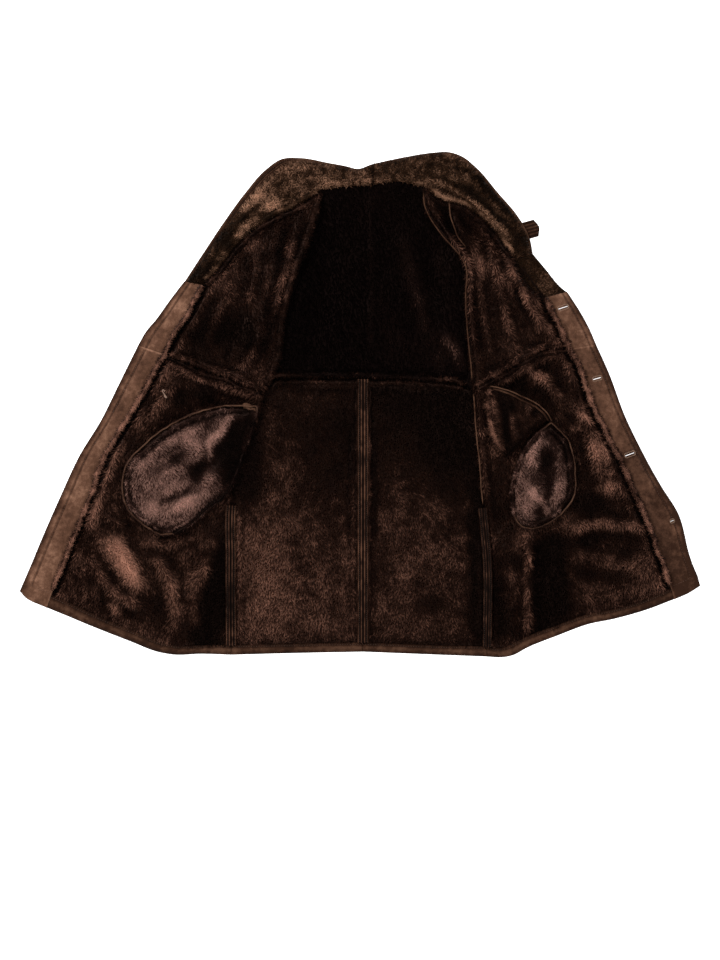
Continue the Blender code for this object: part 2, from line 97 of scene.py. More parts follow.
# Distances between pieces, in millimetres
SEAM_GAP = -1.0            # sewn edges lap a little
LAY_GAP = 1.2
PLY_GAP = 0.4
BACK_TUCK = 10.0
BRIDGE_FLAT = 27.0         # hide stays at full height this far past an edge
BRIDGE_SLOPE = 38.0        # and comes down over this length
TUCK_REACH = 25.0
BAG_REACH = 22.0
TAPE_REACH = 15.0

# Tufts: the most on one fur, how deep their feet stand, and how low a tip and a foot may be
MOST_TUFTS = 49000
FOOT_DEPTH = 0.8
LOWEST_TIP = 0.6
LOWEST_FOOT = 0.1

# What a cut has more than its plan, over the rolls, and the least width that it is given
LENGTH_EASE = 1.02
AREA_EASE = 1.03
LEAST_CUT = 10.1

LATTICE = 128              # the steps of the noise's lattice before it repeats

# Divisions of each panel's plan
UPPER = 9
LOWER = 13
FRONT = 9
EDGE = 2
BACK = 5
LAPEL = 3


class Crease(NamedTuple):
    """A soft ridge, or a trough where the height is below 0: its line, half width and height."""

    path: tuple[tuple[float, float], ...]
    width: float
    height: float


class Glow(NamedTuple):
    """A soft patch of painted sheen on the nap, or of painted shade where its tone is below 0."""

    x: float
    y: float
    across: float
    along: float
    turn: float
    tone: float


# Each seam: how many divisions it has, and its (x, y) points.
SEAMS: dict[str, tuple[int, list[tuple[int, int]]]] = {
    # right side: front edge, facing line, waist, side seam, shoulder and armhole
    "right_edge_upper": (UPPER, [(-290, 202), (-316, 168), (-337, 139), (-353, 120), (-366, 97)]),
    "right_edge_lower": (LOWER, [(-366, 97), (-399, 30), (-427, -26), (-464, -87), (-497, -158),
        (-526, -224), (-553, -290)]),
    "right_face_upper": (UPPER, [(-261, 196), (-283, 152), (-307, 116), (-323, 82)]),
    "right_face_lower": (LOWER, [(-323, 82), (-346, 41), (-371, -5), (-403, -54), (-420, -84),
        (-449, -161), (-486, -251), (-512, -314)]),
    "right_waist": (FRONT, [(-323, 82), (-289, 69), (-256, 54), (-224, 45), (-195, 31),
        (-158, 20)]),
    "right_side": (LOWER, [(-158, 20), (-168, -26), (-194, -79), (-211, -152), (-213, -257),
        (-213, -398)]),
    "right_arm": (UPPER, [(-61, 356), (-80, 280), (-106, 211), (-122, 148), (-135, 64),
        (-158, 20)]),
    # left side
    "left_edge_upper": (UPPER, [(342, 185), (363, 152), (378, 124), (389, 98)]),
    "left_edge_lower": (LOWER, [(389, 98), (410, 51), (437, -21), (464, -76), (497, -135),
        (525, -180), (547, -258), (558, -284)]),
    "left_face_upper": (UPPER, [(306, 175), (320, 148), (333, 120), (346, 91)]),
    "left_face_lower": (LOWER, [(346, 91), (369, 45), (380, 8), (416, -64), (441, -117),
        (466, -175), (487, -226), (515, -304)]),
    "left_waist": (FRONT, [(346, 91), (309, 89), (271, 73), (239, 53), (214, 40), (186, 23)]),
    "left_side": (LOWER, [(186, 23), (190, -26), (198, -111), (203, -178), (210, -256),
        (210, -400)]),
    "left_arm": (UPPER, [(104, 360), (108, 323), (132, 282), (172, 231), (174, 163), (180, 92),
        (186, 23)]),
    # back
    "back_waist_right": (BACK, [(-158, 20), (-142, 38), (-99, 41), (5, 41)]),
    "back_waist_left": (BACK, [(5, 41), (99, 38), (165, 31), (186, 23)]),
    "centre_back": (LOWER, [(5, 41), (5, -394)]),
    # collar: neckline halves, seams with the fronts, and outer edges
    "neck_right": (BACK, [(21, 363), (-18, 361), (-61, 356)]),
    "neck_left": (BACK, [(21, 363), (58, 369), (104, 360)]),
    "collar_right_front": (FRONT, [(-61, 356), (-106, 327), (-152, 307), (-179, 289), (-208, 260),
        (-243, 215), (-261, 196)]),
    "collar_left_front": (FRONT - LAPEL, [(104, 360), (134, 340), (175, 328), (214, 297),
        (239, 266), (254, 241)]),
    "collar_right_rim": (BACK + FRONT, [(21, 397), (-5, 389), (-21, 393), (-52, 399), (-97, 407),
        (-130, 405), (-154, 389), (-192, 346), (-224, 302), (-256, 254), (-290, 202)]),
    "collar_left_rim": (BACK + FRONT - LAPEL, [(21, 397), (77, 409), (122, 416), (145, 417),
        (168, 410), (191, 392), (229, 348), (259, 312), (279, 277), (285, 248)]),
    "lapel_rim": (LAPEL, [(285, 248), (304, 226), (333, 192), (342, 185)]),
    "lapel_front": (LAPEL, [(254, 241), (265, 210), (285, 188), (306, 175)]),
    # hem binding: inner and outer line, from the front edges to the side seams
    "right_hem_in_edge": (EDGE, [(-553, -290), (-512, -314)]),
    "right_hem_in": (FRONT, [(-512, -314), (-441, -346), (-375, -374), (-327, -393), (-305, -398),
        (-262, -398), (-213, -398)]),
    "right_hem_out_edge": (EDGE, [(-562, -309), (-554, -318), (-518, -336)]),
    "right_hem_out": (FRONT, [(-518, -336), (-446, -365), (-380, -391), (-333, -409), (-310, -413),
        (-262, -412), (-213, -414)]),
    "left_hem_in_edge": (EDGE, [(558, -284), (515, -304)]),
    "left_hem_in": (FRONT, [(515, -304), (459, -327), (408, -341), (380, -346), (317, -368),
        (271, -386), (246, -398), (231, -403), (210, -400)]),
    "left_hem_out_edge": (EDGE, [(562, -300), (543, -312), (520, -322)]),
    "left_hem_out": (FRONT, [(520, -322), (464, -342), (411, -356), (384, -361), (323, -383),
        (277, -402), (251, -415), (231, -418), (210, -417)]),
    "back_hem_in_right": (BACK, [(-213, -398), (-99, -396), (5, -394)]),
    "back_hem_in_left": (BACK, [(5, -394), (132, -399), (210, -400)]),
    "back_hem_out_right": (BACK, [(-213, -414), (-99, -411), (5, -409)]),
    "back_hem_out_left": (BACK, [(5, -409), (132, -414), (210, -417)]),
    # sleeves, flat beneath the fronts: the edge over the arm and the edge under it
    "right_sleeve_over": (10, [(-124, 208), (-182, 183), (-256, 135), (-330, 64), (-360, -10),
        (-373, -76), (-389, -191), (-419, -337)]),
    "right_sleeve_under": (10, [(-172, 10), (-180, -12), (-187, -37), (-200, -85), (-223, -158),
        (-246, -233), (-266, -323), (-280, -380)]),
    "left_sleeve_over": (10, [(188, 222), (244, 200), (310, 142), (371, 59), (403, -26), (419, -92),
        (439, -191), (462, -303)]),
    "left_sleeve_under": (10, [(204, 14), (206, -12), (215, -43), (233, -84), (264, -158),
        (294, -233), (314, -307), (327, -346)]),
    # pocket bags: mouth, two sides and round end
    "right_bag_mouth": (6, [(-167, -3), (-167, -16)]),
    "right_bag_top": (9, [(-167, -3), (-222, -2), (-252, -8), (-287, -20), (-333, -47),
        (-375, -84)]),
    "right_bag_bottom": (9, [(-167, -16), (-201, -112), (-217, -148), (-252, -175), (-280, -201),
        (-328, -217), (-361, -198)]),
    "right_bag_end": (6, [(-375, -84), (-388, -107), (-392, -130), (-389, -160), (-380, -179),
        (-361, -198)]),
    "left_bag_mouth": (5, [(297, -42), (315, -29)]),
    "left_bag_inner": (8, [(297, -42), (275, -67), (260, -96), (251, -125), (249, -163),
        (254, -190)]),
    "left_bag_outer": (8, [(315, -29), (342, -56), (356, -117), (354, -153), (333, -183)]),
    "left_bag_end": (5, [(254, -190), (266, -204), (278, -207), (305, -201), (333, -183)]),
    # the left bag's neck, folded over on itself
    "left_neck_top": (4, [(211, 30), (238, 25), (268, 13), (298, -2)]),
    "left_neck_inner": (4, [(211, 30), (207, 13), (210, -24), (219, -59), (241, -87)]),
    "left_neck_outer": (4, [(298, -2), (310, -22)]),
    "left_neck_fold": (4, [(241, -87), (264, -65), (290, -36), (310, -22)]),
    # the end of the throat strap
    "strap_root": (2, [(258, 297), (269, 271)]),
    "strap_tip": (2, [(287, 305), (296, 293), (295, 278)]),
    "strap_upper": (3, [(258, 297), (287, 305)]),
    "strap_lower": (3, [(269, 271), (295, 278)]),
}

# Width of the suede rim that shows outside the top collar: at the centre back,
# at the collar's corner and at its end
COLLAR_RIMS = {"right": (2.0, 15.0, 4.0), "left": (2.0, 7.0, 5.0)}
COLLAR_CORNER = 0.42

# Seam tapes: the seam, how much of it is taped, and the tape's width
TAPES = {
    "centre": {"seam": "centre_back", "from": 0.0, "width": 16.0, "on": ("right", "left")},
    "side_right": {"seam": "right_side", "from": 0.46, "width": 15.0, "on": ("right",)},
    "side_left": {"seam": "left_side", "from": 0.45, "width": 13.0, "on": ("left",)},
}

# Buttonholes: centre, half length, half width, and turn in degrees
BUTTONHOLES = [
    {"x": 335, "y": 159, "half_length": 9.5, "half_width": 1.8, "turn": 18},
    {"x": 391, "y": 42, "half_length": 8.0, "half_width": 1.8, "turn": 16},
    {"x": 445, "y": -83, "half_length": 9.5, "half_width": 1.8, "turn": 20},
    {"x": 516, "y": -193, "half_length": 4.0, "half_width": 1.3, "turn": 22},
]

# Buttons on the outside of the right front, and the height of what they lie on
BUTTONS = [
    {"x": -262, "y": 172, "base": 0.0},
    {"x": -323, "y": 16, "base": 2 * SLEEVE_WALL + 2 * PLY_GAP},
    {"x": -402, "y": -104, "base": 0.0},
    {"x": -447, "y": -203, "base": 0.0},
]

# A button's profile, from the outer face's middle round to the inner one's: radius and
# height, in parts of the button's own
BUTTON_PROFILE = [(0.06, 0.20), (0.36, 0.20), (0.42, 0.22), (0.62, 0.18), (0.70, 0.05), (0.82, 0.0),
                  (0.93, 0.03), (0.99, 0.15), (1.0, 0.40), (0.95, 0.66), (0.80, 0.82), (0.50, 0.95),
                  (0.06, 1.0)]

# Rolls of pile beside seams: name, seams, first and last division, lift, tone, width,
# height, and how far to the left of the seams' run
ROLLED_SEAMS = [
    ("facing_right", ("right_face_upper", "right_face_lower"), 0.0, 21.8, 4.6, 0.86, 8.0, 4.0, 1.0),
    ("waist_right_upper", ("right_waist",), 0.3, 8.8, -0.5, 0.50, 6.0, 3.0, 4.4),
    ("waist_right_lower", ("right_waist",), 0.3, 8.8, -0.5, 0.44, 5.5, 2.6, -4.4),
    ("facing_left", ("left_face_upper", "left_face_lower"), 0.0, 21.8, 4.6, 0.78, 8.0, 4.0, -1.0),
    ("waist_left_upper", ("left_waist",), 0.3, 8.8, -0.5, 0.50, 6.0, 3.0, -4.4),
    ("waist_left_lower", ("left_waist",), 0.3, 8.8, -0.5, 0.44, 5.5, 2.6, 4.4),
    ("armhole_right", ("right_arm",), 0.4, 8.7, -1.0, 0.40, 11.0, 4.0, -5.0),
    ("armhole_left", ("left_arm",), 0.2, 8.7, -0.5, 0.30, 5.0, 2.6, 3.0),
    ("centre_right", ("centre_back",), 0.3, 12.6, 0.0, 0.42, 4.5, 2.4, -11.0),
    ("centre_left", ("centre_back",), 0.3, 12.6, 0.0, 0.42, 4.5, 2.4, 11.0),
    ("collar_root_left", ("collar_left_front", "-lapel_front"), 0.3, 5.8, 3.5, 0.70, 8.0, 3.0, 3.0),
    ("collar_fold_left", ("collar_left_front",), 0.4, 5.9, 0.0, 0.34, 8.0, 3.4, -7.0),
    ("collar_root_right", ("collar_right_front",), 0.2, 8.6, 3.0, 0.50, 7.0, 2.6, -3.0),
    ("collar_fold_right", ("collar_right_front",), 0.4, 8.8, 0.0, 0.40, 7.0, 3.2, 6.5),
]

# Soft rolls of the fronts: from, to, half width and height
ROLLS = [
    {"from": (246, -240), "to": (246, -400), "width": 34.0, "height": 13.0},
    {"from": (-232, -240), "to": (-286, -392), "width": 30.0, "height": 6.0},
    {"from": (250, 220), "to": (290, 110), "width": 30.0, "height": 5.0},
    {"from": (-96, 300), "to": (-135, 160), "width": 30.0, "height": 6.0},
]

# Creases and soft ridges of each part: the line along the crest, half width and height
CREASES: dict[str, list[Crease]] = {part: [Crease(*row) for row in rows] for part, rows in {
    "collar_right": [
        (((-150, 368), (-184, 324), (-232, 262), (-270, 212)), 9, 3),
        (((-120, 345), (-165, 318), (-205, 278), (-245, 222)), 8, 2.5),
        (((-60, 372), (-105, 362), (-140, 345)), 9, 2),
    ],
    "collar_left": [
        (((99, 374), (152, 355), (190, 330), (225, 298), (262, 262)), 7, 5),
        (((150, 392), (190, 362), (222, 325), (255, 290)), 8, 2.5),
    ],
    "front_upper_right": [
        (((-102, 317), (-116, 254), (-132, 188), (-148, 130)), 12, 5),
        (((-91, 295), (-112, 188), (-139, 89)), 7, -3),
        (((-201, 284), (-221, 246), (-241, 205)), 13, 4),
        (((-172, 261), (-175, 213), (-186, 163)), 10, 3),
        (((-221, 175), (-241, 135), (-257, 97)), 13, 3),
        (((-162, 122), (-182, 79), (-198, 53)), 10, 3),
        (((-310, 86), (-256, 63), (-206, 46), (-168, 26)), 8, 5),
    ],
    "front_lower_right": [
        (((-314, 63), (-264, 43), (-211, 26), (-172, 10)), 8, 4),
        (((-294, 40), (-325, 10), (-346, -26)), 13, 4),
        (((-396, -63), (-427, -142), (-452, -208)), 13, 4),
        (((-424, -183), (-404, -193), (-384, -207)), 7, 3.5),
        (((-405, -215), (-388, -262), (-362, -300)), 15, 3),
        (((-343, -238), (-310, -307), (-304, -383)), 16, 4),
        (((-238, -211), (-262, -279), (-279, -323), (-290, -398)), 18, 2.5),
        (((-221, -224), (-241, -307), (-251, -398)), 15, -4),
        (((-442, -257), (-409, -307), (-346, -343)), 13, 4),
        (((-363, -224), (-322, -233), (-280, -216)), 10, 3),
    ],
    "back_upper": [
        (((66, 295), (89, 196), (119, 102)), 23, 3), (((-48, 295), (-56, 205), (-69, 114)), 26, -2),
        (((15, 353), (18, 205), (15, 53)), 7, 2), (((132, 122), (158, 86), (182, 50)), 16, 3),
        (((-145, 50), (2, 48), (182, 36)), 6, 4),
    ],
    "back_lower": [
        (((-145, 33), (2, 33), (185, 23)), 6, 4), (((-11, 26), (-11, -389)), 3.5, 4),
        (((21, 26), (21, -389)), 3.5, 4), (((-200, -158), (-201, -389)), 5, 3),
        (((198, -233), (200, -389)), 5, 3), (((-99, 7), (-124, -109), (-162, -224)), 30, 0.8),
        (((-50, -109), (-66, -257), (-58, -373)), 26, 0.8),
        (((66, -26), (59, -191), (79, -356)), 30, 0.8),
        (((-153, -236), (-120, -262), (-94, -285), (-50, -288)), 5, 2.0),
        (((104, -170), (126, -205), (148, -236), (193, -256)), 5, 2.0),
        (((-140, -222), (-110, -238), (-82, -241)), 6, 1.6),
        (((-160, -50), (-120, -62), (-60, -58)), 9, 1.2),
        (((30, -120), (60, -130), (100, -118)), 8, 1.2),
        (((40, -290), (80, -280), (130, -290)), 9, 1.4),
        (((-190, -330), (-150, -350), (-90, -345)), 9, 1.2),
    ],
    "front_upper_left": [
        (((116, 342), (144, 282), (178, 228), (182, 155), (190, 73)), 8, 4),
        (((153, 320), (160, 304), (168, 284)), 7, 4), (((210, 290), (231, 188), (251, 97)), 10, 4),
        (((236, 271), (267, 188), (307, 112)), 8, 4), (((191, 234), (203, 155), (216, 73)), 8, 3),
        (((276, 195), (299, 142), (318, 102)), 8, 3),
        (((195, 38), (239, 61), (271, 82), (312, 99), (340, 97)), 7, 5),
    ],
    "front_lower_left": [
        (((200, 20), (244, 41), (277, 63), (317, 79), (346, 79)), 7, 4),
        (((267, 63), (307, 38), (333, 3)), 13, 4), (((358, 3), (383, -59), (399, -129)), 15, 5),
        (((414, -43), (429, -86), (439, -129)), 12, 4),
        (((340, -211), (409, -195), (478, -205)), 13, 4),
        (((330, -238), (399, -259), (482, -267)), 20, 3),
        (((234, -224), (251, -307), (251, -399)), 23, 2.5),
        (((279, -211), (280, -307), (276, -398)), 8, 4),
        (((299, -224), (302, -323), (297, -383)), 13, -4),
        (((195, -43), (205, -125), (214, -208)), 8, 3),
    ],
    "bag_right": [
        (((-363, -132), (-297, -99), (-221, -33)), 16, 3),
        (((-330, -185), (-264, -145), (-221, -92)), 15, 3),
        (((-346, -79), (-297, -53), (-248, -33)), 10, 2),
    ],
    "bag_left": [
        (((284, -73), (290, -125), (277, -183)), 12, 3),
        (((317, -59), (330, -117), (317, -175)), 12, 3),
    ],
    "bag_neck": [
        (((218, 23), (218, -26), (234, -73)), 7, 4), (((244, 13), (248, -26), (257, -59)), 8, 3),
        (((277, 3), (277, -23)), 7, 3),
    ],
}.items()}

# Painted sheen and painted shade on the nap, where it catches more light or less: centre, half
# sizes, turn in degrees, and how much
GLOWS: dict[str, list[Glow]] = {part: [Glow(*row) for row in rows] for part, rows in {
    "collar_right": [
        (-152, 330, 24, 16, -50, 0.28), (-176, 345, 10, 22, -40, 0.15),
        (-225, 268, 16, 70, -38, -0.16), (-190, 290, 10, 26, -38, 0.12),
        (-262, 215, 18, 24, -38, -0.14), (-85, 385, 50, 14, 0, 0.08),
    ],
    "collar_left": [
        (150, 390, 60, 20, -12, 0.05), (225, 330, 14, 60, 40, -0.12), (255, 270, 14, 30, 30, -0.12),
    ],
    "lapel": [
        (300, 205, 20, 30, 30, 0.05),
    ],
    "back_upper": [
        (-70, 188, 74, 148, 0, -0.1), (25, 328, 66, 26, 0, 0.06), (90, 170, 80, 150, 0, 0.12),
        (150, 86, 38, 30, -30, 0.2), (-99, 63, 36, 20, 0, 0.06),
    ],
    "back_lower_right": [
        (-110, -300, 150, 160, 0, 0.17), (-99, -43, 99, 60, 0, -0.04),
        (-157, -257, 50, 126, 0, 0.09), (-150, -345, 60, 44, 0, 0.06), (-150, -60, 30, 60, 0, 0.07),
        (-40, -180, 40, 70, 0, -0.05), (-120, -228, 30, 10, -15, -0.08),
        (-23, -43, 26, 82, 0, -0.1), (-182, -109, 16, 82, 0, -0.2), (-24, -250, 5, 150, 0, 0.12),
    ],
    "back_lower_left": [
        (100, -300, 150, 150, 0, 0.14), (126, 7, 90, 82, 0, -0.16), (157, -59, 50, 82, 0, -0.16),
        (70, -200, 70, 110, 0, 0.08), (50, -60, 44, 50, 0, 0.03), (60, -350, 70, 40, 0, 0.03),
        (120, -330, 24, 18, 0, -0.1), (192, -257, 14, 148, 0, -0.25), (32, -230, 5, 150, 0, 0.12),
    ],
    "front_lower_right": [
        (-389, -260, 22, 48, 24, 0.64), (-399, -333, 16, 5, -40, 0.5), (-322, 40, 23, 23, 0, 0.15),
        (-422, -158, 23, 50, -25, 0.14), (-346, -323, 50, 36, 0, -0.04),
        (-236, -316, 25, 104, -12, -0.62), (-292, -306, 22, 86, -14, 0.15),
        (-437, -282, 25, 33, 0, 0.05), (-272, 13, 56, 12, -15, -0.22), (-363, -26, 16, 33, 0, 0.1),
    ],
    "front_upper_right": [
        (-218, 234, 20, 46, -25, 0.33), (-182, 271, 20, 15, 0, 0.22),
        (-120, 271, 13, 66, -15, -0.15), (-214, 122, 74, 36, 0, -0.16),
        (-157, 188, 15, 66, -15, 0.1), (-119, 122, 13, 82, -10, -0.12),
    ],
    "front_upper_left": [
        (193, 229, 14, 22, 10, 0.26), (243, 213, 10, 30, 18, 0.3), (239, 221, 18, 66, 18, 0.08),
        (289, 155, 9, 46, 22, 0.22), (268, 180, 7, 30, 20, -0.16), (198, 271, 33, 50, 0, -0.05),
        (140, 312, 16, 33, 20, -0.34), (223, 114, 50, 23, 0, -0.06),
    ],
    "front_lower_left": [
        (300, 45, 23, 11, 0, 0.3), (371, -18, 5, 15, 30, 0.5), (355, -30, 6, 14, -35, 0.28),
        (404, -79, 13, 14, 0, 0.45), (412, -109, 11, 11, 0, 0.34), (412, -137, 15, 9, 0, 0.34),
        (392, -62, 22, 60, 15, 0.1), (404, -198, 66, 10, 0, 0.2), (309, -307, 29, 88, 0, -0.5),
        (277, -307, 7, 99, 0, 0.26), (239, -323, 23, 82, 0, -0.16), (231, -158, 30, 66, 0, -0.15),
        (462, -257, 23, 40, 0, 0.05), (330, -233, 33, 20, 0, -0.1), (380, -160, 30, 16, 0, -0.14),
    ],
    "bag_right": [
        (-280, -59, 16, 16, 0, 0.26), (-234, -54, 9, 46, -30, 0.34), (-318, -153, 46, 34, 20, 0.24),
        (-343, -100, 26, 20, 0, 0.1), (-297, -150, 36, 7, 20, -0.25),
        (-262, -100, 12, 30, -30, -0.26), (-203, -66, 22, 68, -15, -0.48),
        (-238, -140, 16, 36, -40, 0.1), (-300, -92, 14, 12, 0, -0.18),
        (-268, -22, 40, 10, -10, -0.16),
    ],
    "bag_left": [
        (277, -76, 9, 52, -23, 0.3), (290, -150, 9, 38, 28, 0.34), (322, -76, 17, 52, 0, -0.14),
        (330, -150, 16, 30, 0, 0.06), (266, -165, 14, 46, 10, 0.2), (300, -110, 9, 26, -20, -0.16),
    ],
    "bag_neck": [
        (222, -6, 7, 46, 8, 0.36), (240, -30, 7, 40, 0, -0.3), (266, -10, 14, 26, -10, 0.06),
        (292, -14, 12, 12, 0, -0.1),
    ],
}.items()}


# ---------------------------------------------------------------- plan geometry

def smooth_step(t: Array) -> Array:
    """Return the smooth rise from 0 to 1 as t goes from 0 to 1: t squared times 3 less 2 t."""
    t = np.clip(t, 0.0, 1.0)
    return t * t * (3 - 2 * t)


def bell(t: Array) -> Array:
    """Return a soft bump that is 1 at t = 0: e to the power of minus t squared."""
    return np.exp(-t * t)


def unit(vectors: Array) -> Array:
    """Return vectors scaled to a length of 1."""
    return vectors / np.maximum(np.linalg.norm(vectors, axis=-1, keepdims=True), TINY)


def left_of(along: Array) -> Array:
    """Return the unit directions to the left of plan directions."""
    return unit(np.stack([-along[:, 1], along[:, 0]], axis=1))


def reach_of(path: Array) -> Array:
    """Return how far along a line each of its points is."""
    return np.concatenate([[0.0], np.cumsum(np.linalg.norm(np.diff(path, axis=0), axis=1))])


def level(values: Array, half: int) -> Array:
    """Return a running mean of values, over each one and as many as half on both sides."""
    kernel = np.ones(2 * half + 1) / (2 * half + 1)
    return np.convolve(np.pad(values, half, mode="edge"), kernel, mode="valid")


def fan(middle: int, start: Array, end: Array) -> Array:
    """Return triangles from a middle point to each pair of points on a ring."""
    return np.stack([np.full(len(start), middle), start, end], axis=1)


def through(points: Sequence[tuple[float, float]] | Array, t: Array) -> Array:
    """Return points on the smooth line through the given ones.

    Formula: on each leg the cubic with the legs' end points and with central
    differences as its slopes.

    Args:
        points: The line's own points.
        t: How far along to read it, as parts of its length from 0 to 1.

    Returns:
        One (x, y) row for each value of t.
    """
    points = np.asarray(points, dtype=float)
    steps = np.hypot(*np.diff(points, axis=0).T)
    reach = np.concatenate([[0.0], np.cumsum(steps)])
    slopes = np.gradient(points, reach, axis=0)
    wanted = np.clip(t, 0.0, 1.0) * reach[-1]
    leg = np.clip(np.searchsorted(reach, wanted, side="right") - 1, 0, len(points) - 2)
    span = steps[leg][:, None]
    k = ((wanted - reach[leg]) / steps[leg])[:, None]
    start = points[leg] * (2 * k**3 - 3 * k**2 + 1) + slopes[leg] * span * (k**3 - 2 * k**2 + k)
    end = points[leg + 1] * (3 * k**2 - 2 * k**3) + slopes[leg + 1] * span * (k**3 - k**2)
    return start + end


def seam(*names: str) -> Callable[[Array], Array]:
    """Return the named seams, run end to end, as one line read by division.

    Args:
        names: The seams' names. One after '-' is run backwards.

    Returns:
        A function from division numbers to (x, y) points. Its attribute
        ``count`` is the number of divisions.
    """
    legs = [(SEAMS[name.lstrip("-")], name.startswith("-")) for name in names]

    def at(s: Array) -> Array:
        """Return the line's points at the divisions s.

        Args:
            s: The divisions to read at.

        Returns:
            One (x, y) row for each.
        """
        s = np.asarray(s, dtype=float)
        out = np.empty((len(s), 2))
        begun = 0
        for number, ((count, points), backwards) in enumerate(legs):
            last = number == len(legs) - 1
            here = (s >= begun) & ((s < begun + count) | last)
            t = np.clip((s[here] - begun) / count, 0.0, 1.0)
            out[here] = through(points, 1 - t if backwards else t)
            begun += count
        return out

    at.count = sum(count for (count, _), _ in legs)
    return at


def patch_plan(top: Callable, bottom: Callable, first: Callable, last: Callable,
               columns: int, rows: int) -> PlanFunction:
    """Return the smooth patch between four lines.

    Formula: the two ruled surfaces between facing lines, added, less the
    bilinear patch of the four corners.

    Args:
        top: The line at the first row.
        bottom: The line at the last row.
        first: The line at the first column.
        last: The line at the last column.
        columns: How many divisions the rows have.
        rows: How many divisions the columns have.

    Returns:
        The plan, as a function of columns and rows.
    """
    def plan(su: Array, sv: Array) -> Array:
        """Return the patch's points at columns su and rows sv.

        Args:
            su: The columns.
            sv: The rows.

        Returns:
            A grid of points.
        """
        u, v = (su / columns)[None, :, None], (sv / rows)[:, None, None]
        above, below, start, end = top(su), bottom(su), first(sv), last(sv)
        corners = [f(np.array([0.0, float(n)])) for f, n in ((top, columns), (bottom, columns))]
        ruled = ((1 - v) * above[None] + v * below[None] + (1 - u) * start[:, None]
                 + u * end[:, None])
        return ruled - ((1 - v) * ((1 - u) * corners[0][0] + u * corners[0][1])
                        + v * ((1 - u) * corners[1][0] + u * corners[1][1]))
    return plan


def strip_plan(first: Callable, last: Callable, columns: int) -> PlanFunction:
    """Return the plan of straight columns between two lines: a weighted mean of the two.

    Args:
        first: The line at the first column.
        last: The line at the last column.
        columns: How many divisions there are across.

    Returns:
        The plan, as a function of columns and rows.
    """
    def plan(su: Array, sv: Array) -> Array:
        """Return the strip's points at columns su and rows sv."""
        u = (su / columns)[None, :, None]
        return (1 - u) * first(sv)[:, None] + u * last(sv)[:, None]
    return plan


def divisions(count: int, fine: int, near: Sequence[float] = (0.03, 0.1)) -> Array:
    """Return where to cut a side: each division in fine parts, and closer cuts by both ends.

    Args:
        count: How many divisions the side has.
        fine: The parts of each.
        near: How far in from both ends the closer cuts are.

    Returns:
        The cuts, in divisions.
    """
    near = np.asarray(near)
    return np.unique(np.round(np.concatenate(
        [np.linspace(0, count, count * fine + 1), near, count - near]), 6))


def spread(values: Array, s: Array, axis: int) -> Array:
    """Read values given at whole divisions at any divisions s, by the cubic through neighbours.

    Args:
        values: The values, one at each whole division.
        s: The divisions to read at.
        axis: The side that they run along.

    Returns:
        The values at s.
    """
    n = values.shape[axis] - 1
    i = np.clip(np.floor(s).astype(int), 0, n - 1)
    shape = [1] * values.ndim
    shape[axis] = len(s)
    t = (s - i).reshape(shape)
    a, b, c, d = (np.take(values, np.clip(i + k, 0, n), axis) for k in (-1, 0, 1, 2))
    return b + 0.5 * t * (c - a + t * (2 * a - 5 * b + 4 * c - d + t * (3 * (b - c) + d - a)))


def loop_of(grid: Array) -> Array:
    """Return a grid's border as one closed outline."""
    return np.concatenate([grid[0, :-1], grid[:-1, -1], grid[-1, :0:-1], grid[:0:-1, 0]])


def line_distance(points: Array, line: Array, closed: bool = False) -> tuple[Array, Array]:
    """Return how far points lie from a line in plan.

    Args:
        points: Points of any shape, (..., 2).
        line: The line's points.
        closed: Whether its end joins its start.

    Returns:
        The distances, and how far along the line each nearest point is, from 0 to 1.
    """
    start = line if closed else line[:-1]
    end = np.roll(line, -1, axis=0) if closed else line[1:]
    along = end - start
    size = np.maximum((along**2).sum(-1), 1e-9)
    flat = points.reshape(-1, 1, 2)
    best, where = [], []
    for piece in np.array_split(flat, max(1, len(flat) // 4000)):
        t = np.clip(((piece - start) * along).sum(-1) / size, 0.0, 1.0)
        away = np.linalg.norm(piece - start - t[..., None] * along, axis=-1)
        nearest = away.argmin(1)
        row = np.arange(len(piece))
        best.append(away[row, nearest])
        where.append((nearest + t[row, nearest]) / len(start))
    shape = points.shape[:-1]
    return np.concatenate(best).reshape(shape), np.concatenate(where).reshape(shape)


def inside(points: Array, outline: Array) -> Array:
    """Return which points lie in a closed outline, by counting the edges to their right.

    Args:
        points: Points of any shape, (..., 2).
        outline: The outline's points.

    Returns:
        True for each point inside.
    """
    flat = points.reshape(-1, 1, 2)
    start, end = outline[None], np.roll(outline, -1, axis=0)[None]
    along = end - start
    above = (start[..., 1] > flat[..., 1]) != (end[..., 1] > flat[..., 1])
    rise = np.where(along[..., 1] == 0, 1.0, along[..., 1])
    crossing = start[..., 0] + (flat[..., 1] - start[..., 1]) * along[..., 0] / rise
    return ((above & (flat[..., 0] < crossing)).sum(1) % 2 == 1).reshape(points.shape[:-1])


def distance_outside(points: Array, outline: Array) -> Array:
    """Return how far each point lies outside a closed outline, 0 inside it."""
    return np.where(inside(points, outline), 0.0, line_distance(points, outline, True)[0])


